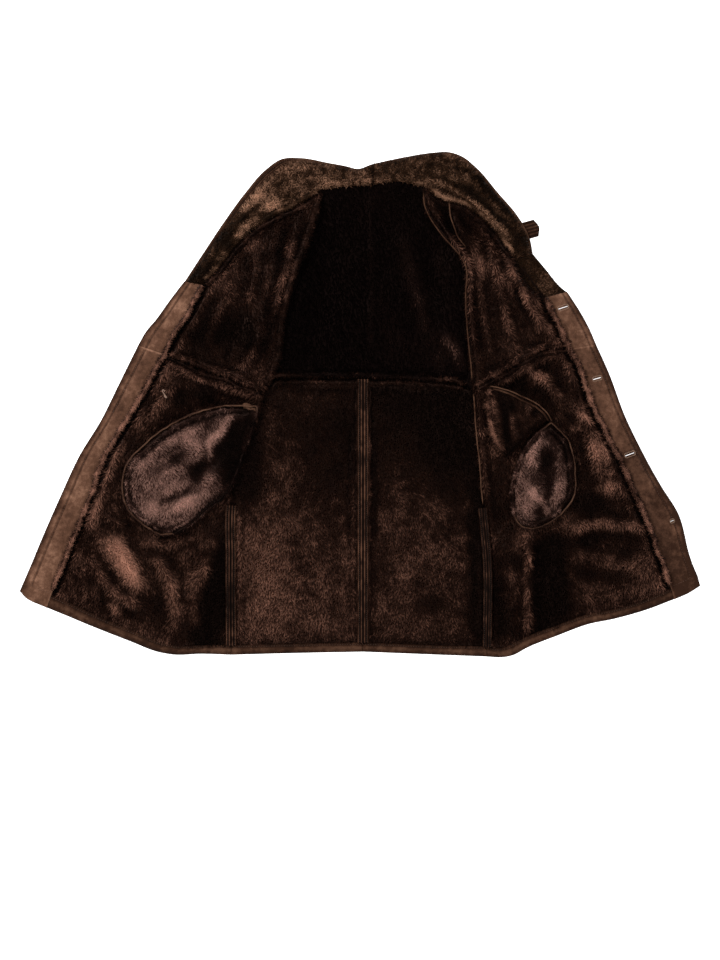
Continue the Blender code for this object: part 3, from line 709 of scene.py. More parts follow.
def noise(points: Array, size: float, seed: int) -> Array:
    """Return smooth random heights from -1 to 1 over the plan.

    Formula: random values on a square lattice, blended by the smooth step.

    Args:
        points: Points of any shape, (..., 2).
        size: The lattice's step, in millimetres.
        seed: Which lattice.

    Returns:
        One height for each point.
    """
    table = np.random.default_rng(seed).uniform(-1.0, 1.0, (LATTICE, LATTICE))
    turn = math.radians(31.0)
    x = (points[..., 0] * math.cos(turn) - points[..., 1] * math.sin(turn)) / size + LATTICE // 2
    y = (points[..., 0] * math.sin(turn) + points[..., 1] * math.cos(turn)) / size + LATTICE // 2
    i, j = np.floor(x).astype(int), np.floor(y).astype(int)
    a, b = smooth_step(x - i), smooth_step(y - j)
    near, far = (table[i % LATTICE, row % LATTICE] * (1 - a)
                 + table[(i + 1) % LATTICE, row % LATTICE] * a for row in (j, j + 1))
    return near * (1 - b) + far * b


def crease_height(points: Array, creases: Iterable[Crease]) -> Array:
    """Return the height that creases add: a bell across each, fading and uneven along it.

    Args:
        points: Points of any shape, (..., 2).
        creases: The creases.

    Returns:
        The height at each point, in millimetres.
    """
    height = np.zeros(points.shape[:-1])
    for number, crease in enumerate(creases):
        line = through(crease.path, np.linspace(0.0, 1.0, 24))
        away, along = line_distance(points, line)
        fade = smooth_step(4 * along + 0.25) * smooth_step(4 * (1 - along) + 0.25)
        uneven = 1 + 0.35 * noise(points, 34.0, 50 + number)
        height += crease.height * bell(away / (0.62 * crease.width * uneven)) * fade * uneven
    return height


def crease_painted_light(points: Array, creases: Iterable[Crease]) -> Array:
    """Return the painted light that creases add: a painted highlight on the crest and painted shade
    by each flank.

    A trough, whose height is below 0, is the other way round.

    Args:
        points: Points of any shape, (..., 2).
        creases: The creases.

    Returns:
        The tone at each point.
    """
    tone = np.zeros(points.shape[:-1])
    for number, crease in enumerate(creases):
        line = through(crease.path, np.linspace(0.0, 1.0, 24))
        away, along = line_distance(points, line)
        fade = smooth_step(4 * along + 0.1) * smooth_step(4 * (1 - along) + 0.1)
        uneven = 1 + 0.45 * noise(points, 22.0, 80 + number)
        crest = 1.0 * bell(away / (0.42 * crease.width))
        flank = 0.8 * bell((away - 1.25 * crease.width) / (0.6 * crease.width))
        tone += 0.062 * crease.height * (crest - flank) * fade * uneven
    return tone


def glow_tone(points: Array, glows: Iterable[Glow]) -> Array:
    """Return the painted sheen and painted shade on the nap: a ragged, turned bell for each patch.

    Args:
        points: Points of any shape, (..., 2).
        glows: The patches.

    Returns:
        The tone at each point.
    """
    tone = np.zeros(points.shape[:-1])
    ragged = np.stack([noise(points, 26.0, 71), noise(points, 26.0, 72)], axis=-1)
    moved = points + 9.0 * ragged
    for glow in glows:
        turn = math.radians(glow.turn)
        x, y = moved[..., 0] - glow.x, moved[..., 1] - glow.y
        a = (x * math.cos(turn) + y * math.sin(turn)) / glow.across
        b = (-x * math.sin(turn) + y * math.cos(turn)) / glow.along
        depth = glow.tone * (1.35 if glow.tone > 0 else 1.6)
        tone += depth * np.exp(-((a * a + b * b) ** 1.5))
    return tone


# ---------------------------------------------------------------- how the panels lie on each other

def roll_height(points: Array) -> Array:
    """Return the height that the soft rolls add at each point.

    Args:
        points: Points of any shape, (..., 2).

    Returns:
        The height at each point, in millimetres.
    """
    height = np.zeros(points.shape[:-1])
    for roll in ROLLS:
        away, _ = line_distance(points, np.array([roll["from"], roll["to"]], float))
        height = np.maximum(height, roll["height"] * smooth_step(1 - away / roll["width"]))
    return height


def dense(surface: Array, steps: int = 5) -> Array:
    """Return points all over a surface of quads, by reading it between its divisions.

    Args:
        surface: A grid of points.
        steps: How many parts each division has.

    Returns:
        The points, one to a row.
    """
    rows = np.linspace(0, surface.shape[0] - 1, (surface.shape[0] - 1) * steps + 1)
    columns = np.linspace(0, surface.shape[1] - 1, (surface.shape[1] - 1) * steps + 1)
    i = np.clip(np.floor(rows).astype(int), 0, surface.shape[0] - 2)
    j = np.clip(np.floor(columns).astype(int), 0, surface.shape[1] - 2)
    t, k = (rows - i)[:, None, None], (columns - j)[None, :, None]
    down = surface[i] * (1 - t) + surface[i + 1] * t
    return (down[:, j] * (1 - k) + down[:, j + 1] * k).reshape(-1, surface.shape[-1])


class Tops:
    """The upper sides of the panels that smaller pieces lie on."""

    def __init__(self) -> None:
        """Start with nothing laid."""
        self.samples = np.empty((0, 3))

    def add(self, grid: Array, heights: Array) -> None:
        """Take in a panel's upper side."""
        surface = np.concatenate([grid, heights[..., None]], axis=-1)
        self.samples = np.concatenate([self.samples, dense(surface)])

    def over(self, points: Array, reach: float) -> Array:
        """Return the greatest height of the panels within reach of each point.

        Args:
            points: Points of any shape, (..., 2).
            reach: How far away a panel still counts.

        Returns:
            The height at each point.
        """
        flat = points.reshape(-1, 1, 2)
        away = np.linalg.norm(flat - self.samples[None, :, :2], axis=-1)
        heights = np.where(away < reach, self.samples[None, :, 2], -LAY_GAP).max(1)
        return heights.reshape(points.shape[:-1])


class Drape:
    """What a panel is laid over: outlines, each with its thickness."""

    def __init__(self, layers: Sequence[tuple[Array, float]] = ()) -> None:
        """Start from some layers."""
        self.layers = list(layers)

    def add(self, outline: Array, thickness: float) -> None:
        """Put one more piece under the panels that are laid later."""
        self.layers.append((outline, thickness + LAY_GAP))

    def under(self, points: Array) -> Array:
        """Return the height of the underside of hide laid over the layers.

        Args:
            points: Points of any shape, (..., 2).

        Returns:
            The height at each point.
        """
        height = np.zeros(points.shape[:-1])
        for outline, thickness in self.layers:
            away = distance_outside(points, outline) - BRIDGE_FLAT
            height += thickness * smooth_step(1 - away / BRIDGE_SLOPE)
        return height


# ---------------------------------------------------------------- meshes

def mesh_object(name: str, verts: Array, quads: Array | None, triangles: Array | None,
                values: dict[str, Array], finishes: Sequence[Material],
                slots: Array | None = None) -> Object:
    """Put arrays of points and faces into a new object.

    Args:
        name: The object's name.
        verts: Points, in millimetres.
        quads: Four-sided faces as rows of indices, or None.
        triangles: Three-sided faces as rows of indices, or None.
        values: One number for each point, by the name that materials read.
        finishes: The object's materials.
        slots: Which material each face takes, quads first.

    Returns:
        The object, smooth shaded.
    """
    mesh = bpy.data.meshes.new(name)
    parts = [part for part in (quads, triangles) if part is not None and len(part)]
    loops = np.concatenate([part.ravel() for part in parts]).astype(np.int32)
    sizes = np.concatenate([np.full(len(part), part.shape[1]) for part in parts]).astype(np.int32)
    starts = np.concatenate([[0], np.cumsum(sizes)[:-1]]).astype(np.int32)
    mesh.vertices.add(len(verts))
    mesh.vertices.foreach_set("co", (np.asarray(verts) * MM).astype(np.float32).ravel())
    mesh.loops.add(len(loops))
    mesh.loops.foreach_set("vertex_index", loops)
    mesh.polygons.add(len(sizes))
    mesh.polygons.foreach_set("loop_start", starts)
    for finish in finishes:
        mesh.materials.append(finish)
    if slots is not None:
        mesh.polygons.foreach_set("material_index", slots.astype(np.int32))
    mesh.update(calc_edges=True)
    mesh.polygons.foreach_set("use_smooth", np.ones(len(sizes), dtype=bool))
    for key, numbers in values.items():
        layer = mesh.attributes.new(key, "FLOAT", "POINT")
        layer.data.foreach_set("value", np.asarray(numbers, dtype=np.float32).ravel())
    piece = bpy.data.objects.new(name, mesh)
    bpy.context.scene.collection.objects.link(piece)
    return piece


def shell(name: str, top: Array, bottom: Array, values: dict[str, Array],
          finishes: Sequence[Material]) -> Object:
    """Make a closed shell from an upper and a lower grid of points.

    The first material covers the upper side and the last one the rest.

    Args:
        name: The object's name.
        top: The upper grid.
        bottom: The lower grid.
        values: One number for each point, or one for all, by name.
        finishes: The materials.

    Returns:
        The closed shell's object.
    """
    rows, columns = top.shape[:2]
    values = {key: np.broadcast_to(grid, (rows, columns)) for key, grid in values.items()}
    step_u, step_v = top[0, -1, :2] - top[0, 0, :2], top[-1, 0, :2] - top[0, 0, :2]
    if step_u[0] * step_v[1] - step_u[1] * step_v[0] > 0:
        top, bottom = top[:, ::-1], bottom[:, ::-1]
        values = {key: grid[:, ::-1] for key, grid in values.items()}
    index = np.arange(rows * columns).reshape(rows, columns)
    upper = np.stack([index[:-1, :-1], index[1:, :-1], index[1:, 1:], index[:-1, 1:]],
                     axis=-1).reshape(-1, 4)
    ring = np.concatenate([index[:-1, 0], index[-1, :-1], index[:0:-1, -1], index[0, :0:-1]])
    after = np.roll(ring, -1)
    lower = rows * columns
    sides = np.stack([ring, ring + lower, after + lower, after], axis=-1)
    quads = np.concatenate([upper, upper[:, ::-1] + lower, sides])
    slots = np.concatenate([np.zeros(len(upper)), np.full(len(upper) + len(sides),
                                                          len(finishes) - 1)])
    verts = np.concatenate([top.reshape(-1, 3), bottom.reshape(-1, 3)])
    both = {key: np.concatenate([grid.ravel(), grid.ravel()]) for key, grid in values.items()}
    return mesh_object(name, verts, quads, None, both, finishes, slots)


def normals_of(surface: Array) -> Array:
    """Return the upward unit normals of a grid of points, from the cross of its two slopes.

    Args:
        surface: A grid of points.

    Returns:
        A normal for each point.
    """
    across, down = np.gradient(surface, axis=1), np.gradient(surface, axis=0)
    normal = np.cross(across, down)
    normal *= np.where(normal[..., 2:] < 0, -1.0, 1.0)
    return unit(normal)


def lay_over(surface: Array, path: Array, lift: float) -> Array:
    """Return a plan line's points at the height of a surface's nearest point, and lift more.

    Args:
        surface: A grid of points.
        path: The line's plan.
        lift: How far above the surface it runs.

    Returns:
        The line's points.
    """
    flat = surface.reshape(-1, 3)
    heights = [flat[np.linalg.norm(flat[None, :, :2] - part[:, None], axis=-1).argsort(1)[:, :4], 2]
               .mean(1) for part in np.array_split(path, max(1, len(path) // 200))]
    return np.concatenate([path, np.concatenate(heights)[:, None] + lift], axis=1)


def even_points(path: Array, pitch: float) -> tuple[Array, Array]:
    """Return points at an even pitch along a line, and the unit directions there.

    Args:
        path: The line's points.
        pitch: From one place to the next.

    Returns:
        The places and the directions.
    """
    reach = reach_of(path)
    wanted = np.arange(pitch / 2, reach[-1], pitch)
    places, ahead, behind = (
        np.stack([np.interp(wanted + step, reach, path[:, k]) for k in range(3)], axis=1)
        for step in (0.0, 0.3, -0.3))
    return places, unit(ahead - behind)


def thread(name: str, places: Array, along: Array, length: float, radius: float,
           finish: Material) -> Object:
    """Make stitches: on each place a slim spindle of six points, pointed at both ends.

    Args:
        name: The object's name.
        places: The stitches' middles.
        along: Their directions.
        length: A stitch's length.
        radius: Half its thickness.
        finish: The material.

    Returns:
        One object of closed spindles.
    """
    side = unit(np.cross(along, np.array([0.0, 0.0, 1.0])))
    over = np.cross(side, along)
    half = along * length / 2
    points = np.stack([places - half - over * radius, places + side * radius,
                       places + over * radius, places - side * radius, places - over * radius,
                       places + half - over * radius], axis=1)
    ring = [1, 2, 3, 4]
    faces = [(0, ring[(k + 1) % 4], ring[k]) for k in range(4)]
    faces += [(5, ring[k], ring[(k + 1) % 4]) for k in range(4)]
    faces = np.array(faces)[:, ::-1]
    triangles = (np.arange(len(places)) * 6)[:, None, None] + faces[None]
    return mesh_object(name, points.reshape(-1, 3), None, triangles.reshape(-1, 3), {}, [finish])


def tube(name: str, path: Array, wide: float, high: float, sides: int, values: dict[str, Array],
         finish: Material) -> Object:
    """Carry an oval profile along a path, with round ends.

    Formula: each ring is the path's point, plus the side direction times half
    the width times the cosine, plus up times half the height times the sine.

    Args:
        name: The object's name.
        path: The path's points.
        wide: The profile's width.
        high: The profile's height.
        sides: The points of each ring.
        values: One number for each point of the path, or one for all, by name.
        finish: The material.

    Returns:
        The closed tube's object.
    """
    n = len(path)
    values = {key: np.repeat(np.broadcast_to(numbers, n), sides) for key, numbers in values.items()}
    along = np.gradient(path, axis=0)
    side = unit(np.stack([along[:, 1], -along[:, 0], np.zeros(n)], axis=1))
    angle = np.linspace(0, 2 * math.pi, sides, endpoint=False)
    to_end = np.minimum(np.arange(n), np.arange(n)[::-1])
    size = np.sqrt(np.clip(to_end / 3 + 0.02, 0, 1))[:, None, None]
    rings = (path[:, None] + side[:, None] * (np.cos(angle) * wide / 2)[None, :, None] * size
             + np.array([0, 0, 1.0]) * (np.sin(angle) * high / 2)[None, :, None] * size)
    index = np.arange(n * sides).reshape(n, sides)
    after = np.roll(index, -1, axis=1)
    quads = np.stack([index[:-1], index[1:], after[1:], after[:-1]], axis=-1).reshape(-1, 4)
    verts = np.concatenate([rings.reshape(-1, 3), path[[0, -1]]])
    caps = np.concatenate([fan(n * sides, index[0], after[0]),
                           fan(n * sides + 1, after[-1], index[-1])])
    values = {key: np.concatenate([numbers, numbers[:1], numbers[-1:]])
              for key, numbers in values.items()}
    return mesh_object(name, verts, quads, caps, values, [finish])


# ---------------------------------------------------------------- finishes

class Nodes:
    """A material's node tree, with short ways to add and join nodes."""

    def __init__(self, name: str) -> None:
        """Start a material with its shader and output.

        Args:
            name: The material's name.
        """
        self.material = bpy.data.materials.new(name)
        self.material.use_nodes = True
        self.tree = self.material.node_tree
        self.shader = self.tree.nodes["Principled BSDF"]

    def add(self, kind: str, **inputs: object) -> bpy.types.Node:
        """Add a node and set its inputs by name, with '_' for a space.

        Args:
            kind: The node's type.
            inputs: Its inputs' values.

        Returns:
            The node.
        """
        node = self.tree.nodes.new(kind)
        for key, value in inputs.items():
            node.inputs[key.replace("_", " ")].default_value = value
        return node

    def join(self, start: Socket, end: Socket) -> None:
        """Join two sockets."""
        self.tree.links.new(start, end)

    def attribute(self, name: str) -> Socket:
        """Return the number that the mesh carries under a name.

        Args:
            name: The name that the mesh uses.

        Returns:
            The socket with the number.
        """
        node = self.tree.nodes.new("ShaderNodeAttribute")
        node.attribute_name = name
        return node.outputs["Fac"]

    def noise(self, scale: float, detail: float = 3.0, stretch: Triple = (1, 1, 1)
              ) -> Socket:
        """Return a noise pattern on the object's own coordinates.

        Args:
            scale: How fine it is.
            detail: How many finer layers it has.
            stretch: How it is stretched along X, Y and Z.

        Returns:
            The socket with the pattern.
        """
        place = self.tree.nodes.new("ShaderNodeTexCoord")
        turn = self.tree.nodes.new("ShaderNodeMapping")
        turn.inputs["Scale"].default_value = stretch
        cloud = self.add("ShaderNodeTexNoise", Scale=scale, Detail=detail, Roughness=0.6)
        self.join(place.outputs["Object"], turn.inputs["Vector"])
        self.join(turn.outputs["Vector"], cloud.inputs["Vector"])
        return cloud.outputs["Fac"]

    def sum(self, *parts: tuple[Socket, float], start: float = 0.0
            ) -> Socket:
        """Return start plus each part times its weight.

        Args:
            parts: Each socket with its weight.
            start: What is added to them.

        Returns:
            The socket with the sum.
        """
        total = None
        for socket, weight in parts:
            node = self.tree.nodes.new("ShaderNodeMath")
            node.operation = "MULTIPLY_ADD"
            node.inputs[1].default_value = weight
            node.inputs[2].default_value = start
            self.join(socket, node.inputs[0])
            if total is not None:
                self.join(total, node.inputs[2])
            total = node.outputs[0]
        return total

    def ramp(self, fac: Socket, stops: Sequence[tuple[float, Colour]]
             ) -> Socket:
        """Return a colour read from a ramp.

        Args:
            fac: Where to read it, from 0 to 1.
            stops: Its places and colours.

        Returns:
            The socket with the colour.
        """
        node = self.tree.nodes.new("ShaderNodeValToRGB")
        elements = node.color_ramp.elements
        while len(elements) < len(stops):
            elements.new(0.5)
        for element, (place, colour) in zip(elements, stops):
            element.position = place
            element.color = (*colour, 1.0)
        self.join(fac, node.inputs["Fac"])
        return node.outputs["Color"]

    def bump(self, height: Socket, depth: float) -> None:
        """Give the shader a bump of that depth in metres.

        Args:
            height: The socket with the height.
            depth: How deep a height of 1 is.

        Returns:
            Nothing: the shader is joined to it.
        """
        node = self.add("ShaderNodeBump", Strength=1.0, Distance=depth)
        self.join(height, node.inputs["Height"])
        self.join(node.outputs["Normal"], self.shader.inputs["Normal"])

    def surface(self, rough: float, specular: float, sheen: float = 0.0, sheen_rough: float = 0.4,
                tint: Colour = (1, 1, 1)) -> None:
        """Set the shader's own constants.

        Args:
            rough: The roughness.
            specular: The strength of reflections.
            sheen: The strength of the sheen.
            sheen_rough: The sheen's roughness.
            tint: The sheen's colour.

        Returns:
            Nothing: the shader is set.
        """
        inputs = self.shader.inputs
        inputs["Roughness"].default_value = rough
        inputs["Specular IOR Level"].default_value = specular
        inputs["Sheen Weight"].default_value = sheen
        inputs["Sheen Roughness"].default_value = sheen_rough
        inputs["Sheen Tint"].default_value = (*tint, 1.0)


@dataclass(frozen=True)
class Suede:
    """Brushed hide: blotches, a fine nap, paler edges, and the painted highlights and painted shade
    that each piece carries.
    """

    name: str
    dark: Colour
    mid: Colour
    pale: Colour
    rough: float = 0.9
    sheen: float = 0.25
    specular: float = 0.08

    def make(self) -> Material:
        """Return the material.

        Returns:
            The suede's material.
        """
        nodes = Nodes(self.name)
        blotch, nap, grain = nodes.noise(14, 4), nodes.noise(160, 4), nodes.noise(900, 2)
        tone = nodes.sum((blotch, 1.5), (nap, 0.9), (grain, 0.7), (nodes.attribute("wear"), 0.45),
                         (nodes.attribute("shade"), -0.6), start=-1.08)
        colour = nodes.ramp(tone, [(0.0, self.dark), (0.5, self.mid), (1.0, self.pale)])
        nodes.join(colour, nodes.shader.inputs["Base Color"])
        nodes.surface(self.rough, self.specular, self.sheen, 0.5, self.pale)
        nodes.bump(nodes.sum((nap, 0.6), (grain, 0.5)), 0.0006)
        return nodes.material


@dataclass(frozen=True)
class Fur:
    """Dyed pile: its colour runs with the tone and the tip that each tuft carries, painted sheen
    and shade included.
    """

    name: str
    root: Colour
    mid: Colour
    light: Colour
    rough: float
    specular: float
    sheen: float
    gleam: Colour

    def make(self) -> Material:
        """Return the material.

        Returns:
            The fur's material.
        """
        nodes = Nodes(self.name)
        nodes.shader.inputs["Specular Tint"].default_value = (*self.gleam, 1.0)
        fine = nodes.noise(500, 2)
        tone = nodes.sum((nodes.attribute("tone"), 0.8), (fine, 0.1), start=-0.05)
        low = tuple(0.55 * a + 0.12 * b for a, b in zip(self.root, self.mid))
        # the ramp's last stop is the colour of the painted highlights
        painted_highlight = tuple(1.5 * a for a in self.light)
        colour = nodes.ramp(tone, [(0.0, self.root), (0.176, low), (0.4, self.mid),
                                   (0.8, self.light), (1.0, painted_highlight)])
        nodes.join(colour, nodes.shader.inputs["Base Color"])
        nodes.surface(self.rough, self.specular, self.sheen, 0.35, self.light)
        nodes.bump(fine, 0.0004)
        return nodes.material


@dataclass(frozen=True)
class Thread:
    """Twisted sewing thread."""

    name: str
    dark: Colour
    light: Colour

    def make(self) -> Material:
        """Return the material.

        Returns:
            The thread's material.
        """
        nodes = Nodes(self.name)
        ply = nodes.noise(1200, 2)
        nodes.join(nodes.ramp(ply, [(0.3, self.dark), (0.7, self.light)]),
                   nodes.shader.inputs["Base Color"])
        nodes.surface(0.6, 0.35, 0.1, 0.4, self.light)
        nodes.bump(ply, 0.0002)
        return nodes.material


@dataclass(frozen=True)
class Horn:
    """Polished dark horn with streaks."""

    name: str

    def make(self) -> Material:
        """Return the material.

        Returns:
            The horn's material.
        """
        nodes = Nodes(self.name)
        streak = nodes.noise(60, 4, (1, 6, 1))
        colour = nodes.ramp(streak, [(0.3, (0.008, 0.004, 0.003)), (0.6, (0.03, 0.014, 0.008)),
                                     (0.9, (0.09, 0.045, 0.022))])
        nodes.join(colour, nodes.shader.inputs["Base Color"])
        nodes.surface(0.28, 0.5)
        nodes.bump(streak, 0.0001)
        return nodes.material


class Finish(Enum):
    """Every finish of the coat."""

    FACING = Suede("suede_facing", (0.022, 0.0088, 0.0045), (0.078, 0.036, 0.021),
                   (0.19, 0.098, 0.062), 0.92, 0.10)
    HEM = Suede("suede_hem", (0.006, 0.0024, 0.0012), (0.022, 0.0088, 0.0046),
                (0.070, 0.034, 0.020), 0.9, 0.03, 0.05)
    OUTSIDE = Suede("suede_outside", (0.030, 0.013, 0.008), (0.075, 0.036, 0.022),
                    (0.14, 0.072, 0.045))
    TAPE = Suede("tape_leather", (0.0012, 0.0005, 0.0003), (0.012, 0.0046, 0.0026),
                 (0.075, 0.034, 0.020), 0.8, 0.0, 0.03)
    PILE = Fur("fur_pile", (0.0002, 0.0001, 0.0001), (0.0138, 0.0054, 0.0034),
               (0.215, 0.100, 0.067), 0.42, 0.07, 0.02, (1.0, 0.55, 0.42))
    SHORN = Fur("fur_shorn", (0.0002, 0.0001, 0.0001), (0.0150, 0.0062, 0.0046),
                (0.31, 0.165, 0.128), 0.40, 0.06, 0.01, (1.0, 0.58, 0.46))
    # a shaded copy of the pile, less specular and without sheen, for the upper back that lies in
    # shade
    DEEP = Fur("fur_deep", (0.0006, 0.0003, 0.0003), (0.0120, 0.0056, 0.0042),
               (0.20, 0.098, 0.072), 0.55, 0.03, 0.0, (1.0, 0.60, 0.50))
    TEDDY = Fur("fur_teddy", (0.0010, 0.0004, 0.0002), (0.024, 0.0105, 0.0052),
                (0.25, 0.130, 0.080), 0.55, 0.08, 0.03, (1.0, 0.62, 0.42))
    SEWING = Thread("thread_brown", (0.022, 0.010, 0.006), (0.075, 0.038, 0.023))
    EYELET = Thread("thread_buttonhole", (0.10, 0.056, 0.036), (0.36, 0.225, 0.150))
    KNOT = Thread("thread_knot", (0.10, 0.055, 0.038), (0.26, 0.16, 0.115))
    HORN = Horn("button_horn")

    @property
    def material(self) -> Material:
        """Return this finish's material, made on first use."""
        return bpy.data.materials.get(self.value.name) or self.value.make()


class Slot(Enum):
    """The record's material slots."""

    FUR = "fur"
    BAG = "bag_fur"
    COLLAR = "collar_fur"
    SUEDE = "suede"
    TAPE = "tape"
    BUTTON = "button"


def place(piece: Object, slot: Slot, replaces: Sequence[str] = ()) -> Object:
    """Fix a piece to the coat, hide the solids that it stands for, and log its faces.

    Args:
        piece: What is placed.
        slot: Not used.
        replaces: The solids' nodes.

    Returns:
        The same piece.
    """
    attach(piece, "root")
    if replaces:
        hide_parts(*replaces)
    log.info("%s: %d faces", piece.name, len(piece.data.polygons))
    return piece


def stitches(name: str, path: Array, pitch: float, length: float, radius: float,
             slot: Slot = Slot.SUEDE) -> Object:
    """Sew a row of stitches along a path.

    Args:
        name: The row's name.
        path: Where it runs.
        pitch: From one stitch to the next.
        length: A stitch's length.
        radius: Half its thickness.
        slot: Its material slot.

    Returns:
        The row's object.
    """
    return place(thread(name, *even_points(path, pitch), length, radius, Finish.SEWING.material),
                 slot)


def piping(name: str, path: Array, wide: float, high: float, sides: int, wear: Array | float,
           shade: float = 0.0) -> Object:
    """Make a thin turned edge of hide along a path.

    Args:
        name: The edge's name.
        path: Where it runs.
        wide: Its width.
        high: Its height.
        sides: The points round it.
        wear: How worn the hide is, along the path.
        shade: How dark it is.

    Returns:
        The edge's object.
    """
    return place(tube(name, path, wide, high, sides, {"wear": wear, "shade": shade},
                      Finish.HEM.material), Slot.SUEDE)


# ---------------------------------------------------------------- panels and their fur

@dataclass
class Panel:
    """A cut piece of hide on a plan of two parameters.

    ``rows`` and ``columns`` count the plan's divisions. ``base`` and ``wall``
    are the underside's height and the thickness, as one number or one at each
    division, and ``base`` may be a function of the divisions' points.
    """

    plan: PlanFunction
    columns: int
    rows: int
    base: Array | float | HeightFunction
    wall: Array | float
    su: Array
    sv: Array

    def __post_init__(self) -> None:
        """Work out the fine plan, drawn in at the seams, and read the heights on it."""
        grid = self.plan(self.su, self.sv)
        every = slice(None)
        for border, inner in (((0, every), (1, every)), ((-1, every), (-2, every)),
                              ((every, 0), (every, 1)), ((every, -1), (every, -2))):
            inward = grid[inner] - grid[border]
            size = np.maximum(np.linalg.norm(inward, axis=-1, keepdims=True), TINY)
            grid[border] += SEAM_GAP / 2 * inward / size
        points = coarse(self.plan, self.columns, self.rows)
        base = self.base(points) if callable(self.base) else self.base
        self.grid = grid
        self.floor = np.maximum(self.read(base + np.zeros(points.shape[:2])), 0.0)
        self.depth = self.read(self.wall + np.zeros(points.shape[:2]))
        self.outline = loop_of(grid)
        self.to_border, _ = line_distance(grid, self.outline, True)

    def read(self, values: Array) -> Array:
        """Return values at the divisions, read on the fine grid."""
        return spread(spread(values, self.sv, 0), self.su, 1)

    def solid(self, heights: Array) -> Array:
        """Return the fine grid with heights as its third number."""
        return np.concatenate([self.grid, heights[..., None]], axis=-1)

    def away_from(self, line: Callable, count: int) -> Array:
        """Return how far the fine grid is from a line that is read at a number of points."""
        return line_distance(self.grid, line(np.linspace(0, line.count, count)))[0]

    def skin(self, name: str, height: Array, node: str, finish: Finish, wear: Array | float,
             shade: Array | float, floor: Array | None = None, slot: Slot = Slot.SUEDE
             ) -> Object:
        """Make the panel's own closed shell of hide.

        Args:
            name: The shell's name.
            height: The height of its upper side.
            node: The solid that it stands for.
            finish: What it is made of.
            wear: How worn it is, and where a highlight is painted.
            shade: How dark it is, mostly painted shade in grooves and at edges.
            floor: The height of its underside, where that isn't the panel's own.
            slot: Its material slot.

        Returns:
            The shell's object.
        """
        under = self.solid(self.floor if floor is None else floor)
        return place(shell(name, self.solid(height), under, {"wear": wear, "shade": shade},
                           [finish.material]), slot, [node])

    @property
    def cut(self) -> tuple[tuple[float, float], float]:
        """Return the flat width and length, and the flat area, in metres.

        Returns:
            The two sizes, and the area.
        """
        rows = np.linalg.norm(np.diff(self.grid, axis=1), axis=-1).sum(1).max()
        columns = np.linalg.norm(np.diff(self.grid, axis=0), axis=-1).sum(0).max()
        a, b = np.diff(self.grid, axis=0)[:, :-1], np.diff(self.grid, axis=1)[:-1]
        area = np.abs(a[..., 0] * b[..., 1] - a[..., 1] * b[..., 0]).sum()
        size = (max(rows, LEAST_CUT) * LENGTH_EASE * MM, columns * LENGTH_EASE * MM)
        return size, min(area * AREA_EASE * MM * MM, size[0] * size[1])

    def cloth(self, piece: Object, held: str, rests_on: Sequence[str] = (),
              with_pieces: Sequence[Object] = ()) -> None:
        flat, area = self.cut


